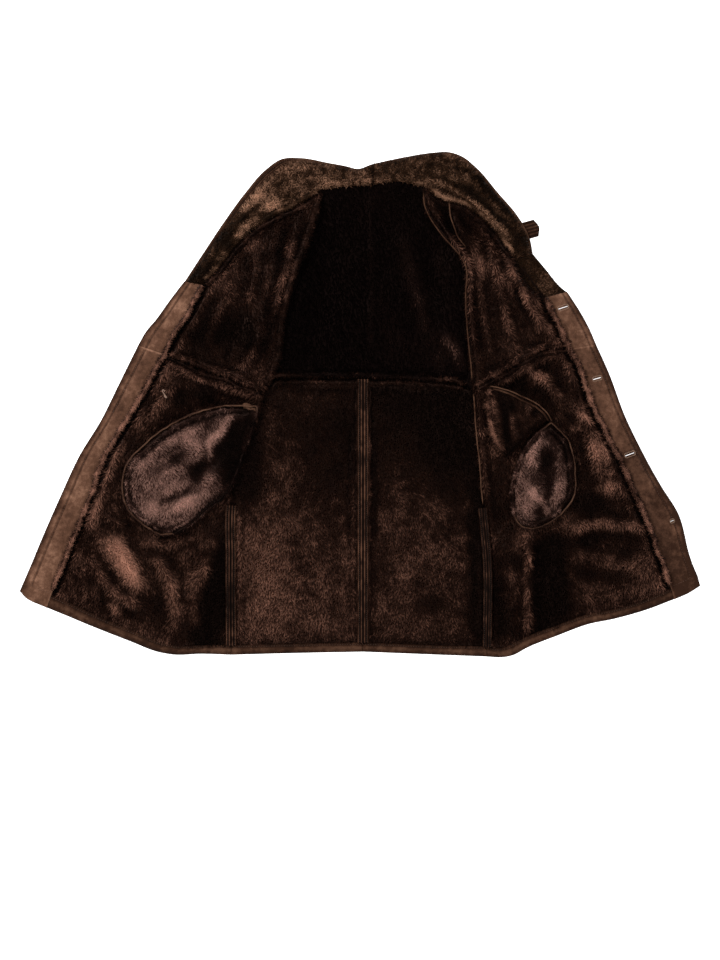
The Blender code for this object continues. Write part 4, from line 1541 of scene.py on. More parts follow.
@dataclass(frozen=True)
class Nap:
    """How a fur is cut and lies: spacing, length and width of a tuft in millimetres."""

    spacing: float = 2.0
    length: float = 7.5
    width: float = 2.1
    rise: float = 0.5           # how steeply tufts stand, as the sine of the angle
    curl: float = 0.35          # how far their directions stray
    heading: float = -90.0      # which way the nap lies in plan, in degrees
    clump: float = 9.0          # size of the locks

    def grow(self, name: str, surface: Array, tone: Array, keep: Array, seed: int, down: Array,
             finish: Material) -> Object:
        """Grow tufts all over a surface.

        Formula: a tuft is a three-sided spike. Its foot is a triangle on the
        surface, and its tip is the foot's middle plus the length times a
        direction, which is the nap's heading in the surface, turned by noise
        and bent away from ridges, plus the normal times the rise.

        Args:
            name: The fur's name.
            surface: The grid that it grows on.
            tone: How light the pile is at each point of the grid, painted sheen and shade included.
            keep: 1 where the pile is full, 0 where there is none.
            seed: Which random numbers to use.
            down: The surface's own fine relief, which the nap falls away from.
            finish: The material.

        Returns:
            One object of closed tufts, four triangles each.
        """
        rng = np.random.default_rng(seed)
        flat = surface[..., :2]
        slope = np.stack([np.gradient(down, axis=1), np.gradient(down, axis=0)], axis=-1)
        du, dv = np.gradient(flat, axis=1), np.gradient(flat, axis=0)
        turn = du[..., 0] * dv[..., 1] - du[..., 1] * dv[..., 0]
        turn = np.where(np.abs(turn) < 1e-6, 1e-6, turn)
        fall_x = -(slope[..., 0] * dv[..., 1] - slope[..., 1] * du[..., 1]) / turn
        fall_y = -(-slope[..., 0] * dv[..., 0] + slope[..., 1] * du[..., 0]) / turn
        angle = (math.radians(self.heading) + 0.5 * noise(flat, 75.0, seed + 1)
                 + 0.35 * noise(flat, 24.0, seed + 2))
        head = np.stack([np.cos(angle) + 2.2 * fall_x, np.sin(angle) + 2.2 * fall_y], axis=-1)
        fields = np.concatenate([surface, normals_of(surface), unit(head), tone[..., None],
                                 keep[..., None]], axis=-1)

        corner = surface[:-1, :-1, :2]
        a, b = surface[:-1, 1:, :2] - corner, surface[1:, :-1, :2] - corner
        area = np.abs(a[..., 0] * b[..., 1] - a[..., 1] * b[..., 0])
        full = 0.25 * (keep[:-1, :-1] + keep[1:, :-1] + keep[:-1, 1:] + keep[1:, 1:])
        weight = np.cumsum((area * full).ravel())
        count = int(min(weight[-1] / self.spacing**2, MOST_TUFTS))
        pick = np.searchsorted(weight, (np.arange(count) + rng.uniform(0, 1, count)) / count
                               * weight[-1] * 0.9999)
        i, j = np.unravel_index(np.clip(pick, 0, area.size - 1), area.shape)
        p, q = rng.uniform(0, 1, (2, count, 1))
        found = ((fields[i, j] * (1 - q) + fields[i, j + 1] * q) * (1 - p)
                 + (fields[i + 1, j] * (1 - q) + fields[i + 1, j + 1] * q) * p)
        root, normal, head = found[:, :3], found[:, 3:6], found[:, 6:8]
        tone, full = found[:, 8], found[:, 9]

        lock = np.stack([noise(root[:, :2], self.clump, seed + 3),
                         noise(root[:, :2], self.clump, seed + 4)], axis=1)
        stray = self.curl * (1.1 * lock + 0.7 * rng.normal(0, 1, (count, 2)))
        lean = np.concatenate([head + stray, np.zeros((count, 1))], axis=1)
        lean -= normal * (lean * normal).sum(1, keepdims=True)
        lean = unit(lean)
        rise = np.clip(self.rise * (1 + 0.3 * rng.normal(0, 1, (count, 1)) + 0.35 * lock[:, :1]),
                       0.12, 0.95)
        way = lean * np.sqrt(1 - rise**2) + normal * rise
        size = (self.length * (0.75 + 0.25 * full) * (1 + 0.16 * rng.normal(0, 1, count)))[:, None]
        tip = root + way * np.clip(size, 0.5 * self.length, 1.5 * self.length)
        tip[:, 2] = np.maximum(tip[:, 2], LOWEST_TIP)

        spin = rng.uniform(0, 2 * math.pi, (count, 1)) + np.arange(3) * 2 * math.pi / 3
        other = np.cross(normal, lean)
        ring = (np.cos(spin)[..., None] * lean[:, None] + np.sin(spin)[..., None] * other[:, None])
        foot = root[:, None] - normal[:, None] * FOOT_DEPTH + ring * self.width / 2
        foot[..., 2] = np.maximum(foot[..., 2], LOWEST_FOOT)
        verts = np.concatenate([foot, tip[:, None]], axis=1).reshape(-1, 3)
        first = np.arange(count)[:, None] * 4
        triangles = np.concatenate([first + face for face in
                                    ((0, 1, 3), (1, 2, 3), (2, 0, 3), (0, 2, 1))])
        depth = 0.35 + np.clip(tone, 0.0, 1.2)
        shade = tone + depth * (0.085 * rng.normal(0, 1, count) + 0.11 * lock[:, 0])
        grown = np.repeat(shade[:, None], 4, axis=1)
        grown[:, :3] -= 0.10 * depth[:, None]
        grown[:, 3] += 0.06 * depth
        piece = mesh_object(name, verts, None, triangles, {"tone": grown}, [finish])
        flat_map = piece.data.uv_layers.new(name="OFBake")
        corners = verts[triangles.ravel(), :2]
        low, high = corners.min(0), corners.max(0)
        scaled = (corners - low) / (high - low).max()
        flat_map.data.foreach_set("uv", scaled.astype(np.float32).ravel())
        return piece


@dataclass
class Relief:
    """The relief and the tone of one fur panel, from its own creases and glows, with their painted
    sheen and shade.
    """

    part: str
    tone: float = 0.40
    seed: int = 1
    glow: str | None = None
    mottle: float = 0.75        # how cloudy the nap is

    def read(self, panel: Panel) -> tuple[Array, Array]:
        """Return the relief in millimetres, and how light the pile is, painted sheen and shade
        included, over the panel's grid.

        Args:
            panel: The panel that the fur grows on.

        Returns:
            The relief and the tone at each point.
        """
        grid = panel.grid
        ridges = crease_height(grid, CREASES.get(self.part, []))
        relief = (ridges + 0.7 * noise(grid, 46.0, self.seed)
                  + 0.5 * noise(grid, 17.0, self.seed + 1) + 0.35 * noise(grid, 8.0, self.seed + 2))
        # the panel's own tone, painted sheen and shade from the glows, random clouds, and painted
        # highlight and shade along the creases
        tone = (self.tone + glow_tone(grid, GLOWS.get(self.glow or self.part, []))
                + self.mottle * (0.15 + self.tone) * (0.24 * noise(grid, 55.0, self.seed + 3)
                                                      + 0.30 * noise(grid, 23.0, self.seed + 4)
                                                      + 0.15 * noise(grid, 7.0, self.seed + 5))
                + crease_painted_light(grid, CREASES.get(self.part, [])))
        return relief, tone


class Bed:
    """What the pieces lie on, filled in as the coat is laid from the plane upwards."""

    def __init__(self) -> None:
        """Start with an empty plane."""
        self.over_sleeves = Drape()
        self.over_back = Drape()
        self.over_strap = Drape()
        self.tops = Tops()
        self.back_top = Tops()

    def laid(self, points: Array) -> Array:
        """Return the height of a front's underside, clear of the back's tucked edges."""
        tucked = self.back_top.over(points, TUCK_REACH) + LAY_GAP
        return np.maximum(self.over_back.under(points), tucked) + roll_height(points)


def edge_round(distance: Array, radius: float) -> Array:
    """Return a quarter round: 0 on the border and 1 from the radius inwards."""
    t = 1 - np.clip(distance / radius, 0.0, 1.0)
    return np.sqrt(np.maximum(1 - t * t, 0.0))


def coarse(plan: PlanFunction, columns: int, rows: int) -> Array:
    """Return the plan's points at its whole divisions."""
    return plan(np.arange(columns + 1.0), np.arange(rows + 1.0))


@dataclass
class FurPanel:
    """A panel of hide with its fur, and how both are made."""

    name: str
    panel: Panel
    relief: Relief
    nap: Nap
    node: str
    slot: Slot
    pile: Finish = Finish.PILE
    hide_part: float = 0.5          # how much of the wall is hide and pressed pile
    rests_on: tuple[str, ...] = ()
    held: str = "laid"

    def build(self, keep: Array | None = None, extra: Array | None = None,
              extra_tone: Array | None = None) -> tuple[Object, Array]:
        """Make the hide's shell and the fur on it.

        Args:
            keep: 1 where there is fur, 0 where it is shaved.
            extra: More relief, in millimetres.
            extra_tone: More tone, mostly painted highlights and painted shade along seams, furrows
                and edges.

        Returns:
            The hide's object, and the grid of its upper side.
        """
        panel = self.panel
        relief, tone = self.relief.read(panel)
        keep = np.ones(tone.shape) if keep is None else keep
        relief = relief * keep + (0.0 if extra is None else extra)
        tone = tone + (0.0 if extra_tone is None else extra_tone)
        thick = panel.depth * (self.hide_part * keep + 0.96 * (1 - keep))
        height = panel.floor + np.maximum(thick + relief, 1.2) * (
            0.3 + 0.7 * edge_round(panel.to_border, 5.0))
        top, bottom = panel.solid(height), panel.solid(panel.floor)
        values = {"tone": tone * 0.7 - 0.06, "wear": 0.0, "shade": 0.2}
        hide = shell(f"{self.name}_hide", top, bottom, values,
                     [self.pile.material, Finish.OUTSIDE.material])
        place(hide, self.slot, [self.node])
        fur = self.nap.grow(f"{self.name}_fur", top, tone, keep, self.relief.seed + 100, relief,
                            self.pile.material)
        place(fur, self.slot)
        panel.cloth(hide, self.held, self.rests_on, [fur])
        return hide, top


# ---------------------------------------------------------------- sub-assemblies

ROLL_NAP = Nap(spacing=1.5, length=4.6, width=2.0, rise=0.6, curl=1.1, clump=4.0)
TAPED_NAP = Nap(spacing=1.7, length=4.0, width=1.8, rise=0.6, curl=1.0, clump=4.0)


@dataclass
class FurEdge:
    """A ruffled roll of pile where a seam's edge stands up: a strip on the seam's line.

    ``start`` and ``end`` are divisions of the line, and ``shift`` is how far the
    roll's middle is to the left of the line's run.
    """

    name: str
    line: Callable
    start: float
    end: float
    lift: float
    tone: float
    width: float = 9.0
    height: float = 3.6
    shift: float = 0.0
    finish: Finish = Finish.PILE
    slot: Slot = Slot.FUR
    nap: Nap = ROLL_NAP
    cuts: int = 9               # points across the roll, and along each division

    def strip(self, seed: int) -> tuple[Array, Array]:
        """Return the roll's plan, uneven in width and place along the seam.

        Args:
            seed: Which noise to use.

        Returns:
            The plan's grid, and where its columns are across the roll, from -1 to 1.
        """
        s = np.linspace(self.start, self.end, int((self.end - self.start) * self.cuts) + 2)
        middle = self.line(s)
        along = self.line(np.minimum(s + 0.2, self.line.count)) - self.line(np.maximum(s - 0.2, 0))
        wobble = self.shift + 1.5 * noise(middle, 16.0, seed) + 0.8 * noise(middle, 6.0, seed + 1)
        half = self.width / 2 * (1 + 0.3 * noise(middle, 12.0, seed + 2))
        half = half * (0.3 + 0.7 * smooth_step(np.minimum(s - self.start, self.end - s) / 0.3))
        u = np.linspace(-1, 1, self.cuts)
        aside = (wobble[:, None] + half[:, None] * u)[..., None]
        return middle[:, None] + left_of(along)[:, None] * aside, u

    def build(self, bed: Bed, seed: int) -> None:
        """Make the roll, an arch across the strip, and the fringe that grows on it.

        Args:
            bed: What it lies on.
            seed: Which noise and random numbers to use.

        Returns:
            Nothing: the two pieces join the scene.
        """
        grid, u = self.strip(seed)
        ground = level(bed.tops.over(grid[:, ::4], 9.0).max(1), 4) + self.lift
        arch = np.sqrt(np.maximum(1 - u * u, 0.0))[None, :]
        lumpy = 1 + 0.35 * noise(grid, 7.0, seed + 3)
        top = np.maximum(ground[:, None] + self.height * arch * lumpy, 0.6)
        low = np.maximum(ground[:, None] - 1.5 * arch - 0.3, 0.1)
        surface = np.concatenate([grid, top[..., None]], axis=-1)
        under = np.concatenate([grid, np.minimum(low, top - 0.2)[..., None]], axis=-1)
        # painted highlight on the roll's crown, fading to painted shade down its sides, with random
        # tone
        tone = (self.tone * (0.35 + 0.65 * arch) + 0.22 * noise(grid, 7.0, seed + 4)
                + 0.14 * noise(grid, 26.0, seed + 5))
        material = self.finish.material
        place(shell(f"{self.name}_roll", surface, under, {"tone": tone - 0.15}, [material]),
              self.slot)
        place(self.nap.grow(f"{self.name}_fringe", surface, tone, np.ones(tone.shape), seed + 6,
                            top - ground[:, None], material), self.slot)


@dataclass
class Sleeves:
    """The two sleeves, folded flat beneath the fronts."""

    columns: int = 5
    rows: int = 10
    crumple: float = 0.8
    edge: float = 5.0           # radius of the fold along both sides

    def build(self, bed: Bed) -> None:
        """Make an under and a top panel on each side.

        Args:
            bed: What the pieces lie on. It takes in the sleeves.

        Returns:
            Nothing: the pieces join the scene.
        """
        for seed, side in enumerate(("right", "left"), 301):
            plan = strip_plan(seam(f"{side}_sleeve_over"), seam(f"{side}_sleeve_under"),
                              self.columns)
            bed.over_sleeves.add(loop_of(coarse(plan, self.columns, self.rows)),
                                 2 * SLEEVE_WALL + PLY_GAP)
            below: list[str] = []
            for ply, base in (("under", 0.0), ("top", SLEEVE_WALL + PLY_GAP)):
                panel = Panel(plan, self.columns, self.rows, base, SLEEVE_WALL,
                              divisions(self.columns, 4), divisions(self.rows, 6))
                rounding = 0.45 + 0.55 * edge_round(panel.to_border, self.edge)
                wrinkle = self.crumple * np.minimum(noise(panel.grid, 28.0, seed), 0.2)
                if ply == "under":
                    upper = panel.floor + SLEEVE_WALL
                    lower = panel.floor + SLEEVE_WALL * (1 - rounding)
                else:
                    upper, lower = panel.floor + SLEEVE_WALL * rounding + wrinkle, panel.floor
                piece = panel.skin(f"sleeve_{side}_{ply}_hide", upper, f"sleeve_{side}_{ply}",
                                   Finish.OUTSIDE, 1 - edge_round(panel.to_border, 4.0), 0.0, lower)
                panel.cloth(piece, "folded", list(below))
                below.append(piece.name)


@dataclass
class Backs:
    """The upper back, the two lower backs and their hem binding."""

    nap: Nap = Nap(spacing=2.25, width=2.5)
    deep_nap: Nap = Nap(spacing=2.7, width=2.7)
    fine: int = 6
    ruffle: float = 2.5         # height of the roll of pile beside the waist seam

    def tucked(self, side: float, line: Callable) -> Callable:
        """Return an armhole line moved out under the front, except at its ends.

        Args:
            side: -1 to move it towards the wearer's right, 1 towards the left.
            line: The armhole.

        Returns:
            The moved line.
        """
        def at(s: Array) -> Array:
            """Return the moved line's points.

            Args:
                s: The divisions to read at.

            Returns:
                One (x, y) row for each.
            """
            points = line(s)
            points[:, 0] += side * BACK_TUCK * np.clip(np.minimum(s, UPPER - s), 0, 1)
            return points
        return at

    def upper(self, bed: Bed) -> None:
        """Make the upper back, from armhole to armhole.

        Args:
            bed: What it lies on. It takes in the upper back.

        Returns:
            Nothing: the pieces join the scene.
        """
        columns = 2 * BACK
        plan = patch_plan(seam("-neck_right", "neck_left"),
                          seam("back_waist_right", "back_waist_left"),
                          self.tucked(-1, seam("right_arm")), self.tucked(1, seam("left_arm")),
                          columns, UPPER)
        points = coarse(plan, columns, UPPER)
        base = bed.over_sleeves.under(points)
        bed.back_top.add(points, base + BODY_WALL)
        bed.over_back = Drape(bed.over_sleeves.layers)
        bed.over_back.add(loop_of(points), BODY_WALL)
        panel = Panel(plan, columns, UPPER, base, BODY_WALL, divisions(columns, self.fine),
                      divisions(UPPER, self.fine))
        side_gap = np.minimum(panel.su, columns - panel.su)[None, :] * 30.0
        keep = smooth_step((side_gap + 0 * panel.floor - 4) / 8)
        waist = (UPPER - panel.sv)[:, None] * 34.0 + 0 * panel.floor
        # painted shade along the waist seam and towards both sides, where the fronts lie over the
        # back
        dark = -0.22 * bell(waist / 2.5) - 0.10 * smooth_step(1 - side_gap / 30) * (waist > -1)
        # the upper back lies in shade: it is painted with a low tone and the shaded copy of the
        # pile
        FurPanel("upper_back", panel, Relief("back_upper", 0.10, 11, None, 0.5), self.deep_nap,
                 "back_upper", Slot.FUR, Finish.DEEP,
                 rests_on=("sleeve_right_top_hide", "sleeve_left_top_hide")
                 ).build(keep, self.ruffle * bell((waist - 6) / 4.0) * keep, dark)

    def lower(self, bed: Bed, side: str, first: str, last: str, tone: float, seed: int) -> None:
        """Make one lower back and its hem binding.

        Args:
            bed: What it lies on. It takes in the lower back.
            side: Which half.
            first: The seam at its -X side.
            last: The seam at its +X side.
            tone: How light its pile is.
            seed: Which noise to use.

        Returns:
            Nothing: the pieces join the scene.
        """
        plan = patch_plan(seam(f"back_waist_{side}"), seam(f"back_hem_in_{side}"), seam(first),
                          seam(last), BACK, LOWER)
        points = coarse(plan, BACK, LOWER)
        base = bed.over_sleeves.under(points)
        bed.tops.add(points, base + BODY_WALL)
        panel = Panel(plan, BACK, LOWER, base, BODY_WALL, divisions(BACK, self.fine),
                      divisions(LOWER, self.fine))
        waist = panel.sv[:, None] * 33.0 + 0 * panel.floor
        # painted shade along the waist seam and round the border
        dark = -0.20 * bell(waist / 2.5) - 0.12 * bell((panel.to_border - 2) / 7)
        FurPanel(f"lower_back_{side}", panel,
                 Relief("back_lower", tone, seed, f"back_lower_{side}", 0.45), self.nap,
                 f"back_lower_{side}", Slot.FUR
                 ).build(None, self.ruffle * bell((waist - 6) / 4.0), dark)
        band = strip_plan(seam(f"back_hem_in_{side}"), seam(f"back_hem_out_{side}"), 2)
        Binding(f"hem_back_{side}", band, BACK, 0).build(bed.over_sleeves.under)

    def build(self, bed: Bed) -> None:
        """Make the panels from the neck down.

        Args:
            bed: What they lie on. It takes in the backs.

        Returns:
            Nothing: the pieces join the scene.
        """
        self.upper(bed)
        self.lower(bed, "right", "right_side", "centre_back", 0.42, 21)
        self.lower(bed, "left", "centre_back", "left_side", 0.34, 31)


@dataclass
class Binding:
    """A turned band of hide along the hem, gathered by its stitches."""

    node: str
    plan: PlanFunction
    rows: int
    thin_rows: int
    gathers: float = 0.55
    pitch: float = 4.2
    groove: float = 0.22        # where the stitches run, in parts of the width

    def build(self, laid: HeightFunction) -> None:
        """Make the band and its line of stitches.

        Args:
            laid: The height of its underside over the plan.

        Returns:
            Nothing: the two pieces join the scene.
        """
        thick = np.full((self.rows + 1, 3), HEM_WALL)
        thick[:self.thin_rows] = EDGE_WALL
        panel = Panel(self.plan, 2, self.rows, laid, thick, divisions(2, 5, (0.05,)),
                      divisions(self.rows, 12))
        reach = reach_of(panel.grid[:, 1])
        along = np.stack([reach, np.zeros(len(reach))], axis=1)
        across = (panel.su / 2)[None, :]
        ripple = (noise(along, 5.5, 401) + 0.7 * noise(along, 11.0, 402))[:, None]
        crown = 0.45 + 0.55 * np.sqrt(np.maximum(1 - (2 * across - 1) ** 4, 0.0))
        sunk = -1.2 * bell((across - self.groove) / 0.07)
        height = panel.floor + panel.depth * crown + (self.gathers * ripple + sunk) * (crown > 0.6)
        ends = 0.5 + 0.5 * edge_round(np.minimum(reach, reach[-1] - reach), 2.0)[:, None]
        height = panel.floor + (height - panel.floor) * ends
        # painted highlight on the gathers' crests and the band's crown; painted shade in the
        # stitched groove and along the inner edge
        band = panel.skin(f"{self.node}_band", height, self.node, Finish.HEM,
                          0.25 * ripple + 0.5 * bell((across - 0.55) / 0.2),
                          0.5 * bell((across - self.groove) / 0.08) + 0.35 * bell(across / 0.1))
        column = int(np.argmin(np.abs(panel.su / 2 - self.groove)))
        line = np.concatenate([panel.grid[:, column], height[:, column, None] + 0.35], axis=1)
        sewn = stitches(f"{self.node}_stitches", line, self.pitch, 3.0, 0.45)
        panel.cloth(band, "folded", [], [sewn])


@dataclass
class Fronts:
    """One side's fronts with their fur, facings, buttonholes and hem binding."""

    side: str
    top: Callable
    groove: float               # the topstitching's place, in parts of the facing's width
    upper_tone: float
    lower_tone: float
    nap: Nap = Nap(spacing=2.25, length=8.5, width=2.5)
    fine: int = 5
    strip: float = 21.0         # the facing's width for each division, in millimetres
    corner: float = 0.42        # how far from the hem its stitching turns, in divisions
    pitch: float = 4.4

    def __post_init__(self) -> None:
        """Look up the side's own seams."""
        side = self.side
        self.edge = {part: seam(f"{side}_edge_{part}") for part in ("upper", "lower")}
        self.face = {part: seam(f"{side}_face_{part}") for part in ("upper", "lower")}

    def field(self, bed: Bed, part: str, number: int) -> tuple[Object, Array]:
        """Make one front panel: the furred field, and the shaved edge under its facing.

        Args:
            bed: What it lies on. It takes in the panel.
            part: Whether it is the upper or the lower one.
            number: The part's number, for the noise.

        Returns:
            The hide's object, and the grid of its upper side.
        """
        side, face = self.side, self.face[part]
        above, below, last, rows = {
            "upper": (self.top, seam(f"{side}_waist"), seam(f"{side}_arm"), UPPER),
            "lower": (seam(f"{side}_waist"), seam(f"{side}_hem_in"), seam(f"{side}_side"), LOWER),
        }[part]
        band = strip_plan(self.edge[part], face, EDGE)
        rest = patch_plan(above, below, face, last, FRONT, rows)

        def plan(su: Array, sv: Array) -> Array:
            """Return the shaved edge's points and then the furred field's."""
            return np.concatenate([band(su[su < EDGE], sv), rest(su[su >= EDGE] - EDGE, sv)],
                                  axis=1)

        points = coarse(plan, EDGE + FRONT, rows)
        thick = np.full(points.shape[:2], BODY_WALL)
        thick[:, :EDGE + 1] = EDGE_WALL
        base = bed.laid(points)
        bed.tops.add(points, base + thick)
        su = np.unique(np.concatenate([divisions(EDGE + FRONT, self.fine), [1.9, 2.05, 2.1]]))
        panel = Panel(plan, EDGE + FRONT, rows, base, thick, su, divisions(rows, self.fine))
        from_face = np.where(panel.su >= EDGE, 1.0, -1.0)[None, :] * panel.away_from(face, 60)
        to_last, to_top = panel.away_from(last, 60), panel.away_from(above, 60)
        keep = smooth_step((from_face - 2) / 4)
        # a ruffle of pile stands beside each seam, with a furrow on the seam itself
        ragged = 1 + 0.4 * noise(panel.grid, 14.0, 90 + number)
        extra = 2.5 * bell((from_face - 14) / 5) * ragged - 2.0 * bell((from_face - 6) / 4)
        extra = extra + 2.6 * bell((to_last - 8) / 5) * ragged * keep
        extra = extra + 2.0 * bell((to_top - 8) / 5) * ragged * keep
        # painted highlight on each ruffle, and painted shade in the furrow by the facing and along
        # the top and outer seams
        extra_tone = (0.22 * bell((from_face - 15) / 5) * ragged - 0.75 * bell((from_face - 7) / 4)
                      - 0.20 * bell(to_top / 3.5) + 0.07 * bell((to_last - 8) / 5)
                      - 0.15 * bell(to_last / 3))
        tone = self.upper_tone if part == "upper" else self.lower_tone
        seed = 200 + 10 * number + (5 if side == "left" else 0)
        return FurPanel(f"{part}_front_{side}", panel, Relief(f"front_{part}_{side}", tone, seed),
                        self.nap, f"front_{part}_{side}", Slot.FUR, rests_on=("upper_back_hide",)
                        ).build(keep, extra, extra_tone)

    def facing_plans(self) -> dict[str, tuple[PlanFunction, int]]:
        """Return the facings' plans. The lower one runs on over the hem to the corner.

        Returns:
            The plan and its rows, for the upper and the lower facing.
        """
        corner = seam(f"{self.side}_hem_out_edge")
        edge, face, last = self.edge["lower"], self.face["lower"], np.array([float(LOWER)])

        def drawn(line: Callable, division: float) -> Callable:
            """Return a line whose last division runs on to the hem's outer line."""
            move = corner(np.array([division])) - line(last)
            return lambda s: line(s) + move * np.clip(s - (LOWER - 1), 0, 1)[:, None]

        long_edge, long_face = drawn(edge, 0.0), drawn(face, float(EDGE))
        start, end = long_edge(np.zeros(1)), long_face(np.zeros(1))
        return {
            "upper": (strip_plan(self.edge["upper"], self.face["upper"], EDGE), UPPER),
            "lower": (patch_plan(lambda s: start + (end - start) * (s / EDGE)[:, None], corner,
                                 long_edge, long_face, EDGE, LOWER), LOWER),
        }

    def facing(self, bed: Bed, part: str, plan: PlanFunction, rows: int
               ) -> tuple[Object, Array]:
        """Make one facing with its topstitching.

        Args:
            bed: What it lies on.
            part: Whether it is the upper or the lower one.
            plan: Its plan.
            rows: The plan's rows.

        Returns:
            The facing's object, and the grid of its upper side.
        """
        name = f"facing_{part}_{self.side}"
        panel = Panel(plan, EDGE, rows, lambda points: bed.laid(points) + EDGE_WALL + LAY_GAP,
                      FACING_WALL, divisions(EDGE, 11, (0.02, 0.06)),
                      divisions(rows, 8, (0.02, 0.06)))
        line = self.stitch_line(panel, part == "lower")
        away, _ = line_distance(panel.grid, line)
        pucker = 0.28 * noise(panel.grid, 5.0, 95) * bell((away - 1.5) / 4)
        swell = 0.5 * noise(panel.grid, 55.0, 96) + 0.25 * noise(panel.grid, 18.0, 97)
        height = panel.floor + (FACING_WALL + 0.7 + swell) * (
            0.45 + 0.55 * edge_round(panel.to_border, 2.6)) - 1.3 * bell(away / 1.7) + pucker
        height = np.maximum(height, panel.floor + 0.8)
        inner, outer = (EDGE - panel.su)[None, :] * self.strip, panel.su[None, :] * self.strip
        # the hide is paler along its inner edge, at the lower facing's top and in patches; painted
        # shade darkens the stitched groove and the outer edge
        wear = 0.9 * bell(inner / 1.5)
        if part == "lower":
            wear = wear + 1.2 * bell((panel.sv * 30 - 1.0) / 1.2)[:, None]
        wear = (wear + 0.18 * bell((away - 3) / 2) + 0.25 * noise(panel.grid, 60.0, 98)
                + 0.2 * noise(panel.grid, 20.0, 99))
        shade = (0.75 * bell(away / 1.5) + 0.45 * bell(outer / 5.0) + 0.15 * bell(inner / 6.0)
                 + 0.42 * smooth_step(1 - outer / 11) + 0.22 * noise(panel.grid, 9.0, 94)
                 + 0.5 * self.darker(panel, part))
        piece = panel.skin(f"{name}_hide", height, name, Finish.FACING, wear, shade)
        surface = panel.solid(height)
        sewn = stitches(f"{name}_stitches", lay_over(surface, line, 0.25), self.pitch, 3.3, 0.42)
        panel.cloth(piece, "laid", [f"{part}_front_{self.side}_hide"], [sewn])
        return piece, surface

    def darker(self, panel: Panel, part: str) -> Array | float:
        """Return a facing's painted light and shade: on the left side, lighter on the upper facing
        and darker towards the hem.

        Args:
            panel: The facing.
            part: Whether it is the upper or the lower one.

        Returns:
            The tone to take away, 0 on the right side.
        """
        if self.side == "right":
            return 0.0
        if part == "upper":
            return -0.6
        return (0.35 + 0.5 * smooth_step(panel.sv / panel.rows - 0.1))[:, None]

    def stitch_line(self, panel: Panel, turns: bool) -> Array:
        """Return the topstitching's plan: along the edge, and round the corner over the hem.

        Args:
            panel: The facing.
            turns: Whether it goes round the corner.

        Returns:
            The line's points.
        """
        start = self.groove * EDGE
        end = panel.rows - self.corner if turns else float(panel.rows)
        line = panel.plan(np.array([start]), np.linspace(0.0, end, 90))[:, 0]
        if turns:
            across = panel.plan(np.linspace(start, EDGE, 20), np.array([end]))[0]
            line = np.concatenate([line, across[1:]])
        return line

    def build(self, bed: Bed) -> list[tuple[Object, Array]]:
        """Make the side's pieces from the fur up.

        Args:
            bed: What they lie on. It takes in the fronts.

        Returns:
            The pieces that a buttonhole can pass through, with their upper sides.
        """
        side = self.side
        cuttable = [self.field(bed, part, number) for number, part in enumerate(("upper", "lower"))]
        cuttable += [self.facing(bed, part, *plan) for part, plan in self.facing_plans().items()]
        band = strip_plan(seam(f"{side}_hem_in_edge", f"{side}_hem_in"),
                          seam(f"{side}_hem_out_edge", f"{side}_hem_out"), 2)
        Binding(f"hem_front_{side}", band, EDGE + FRONT, EDGE + 1).build(bed.laid)
        return cuttable


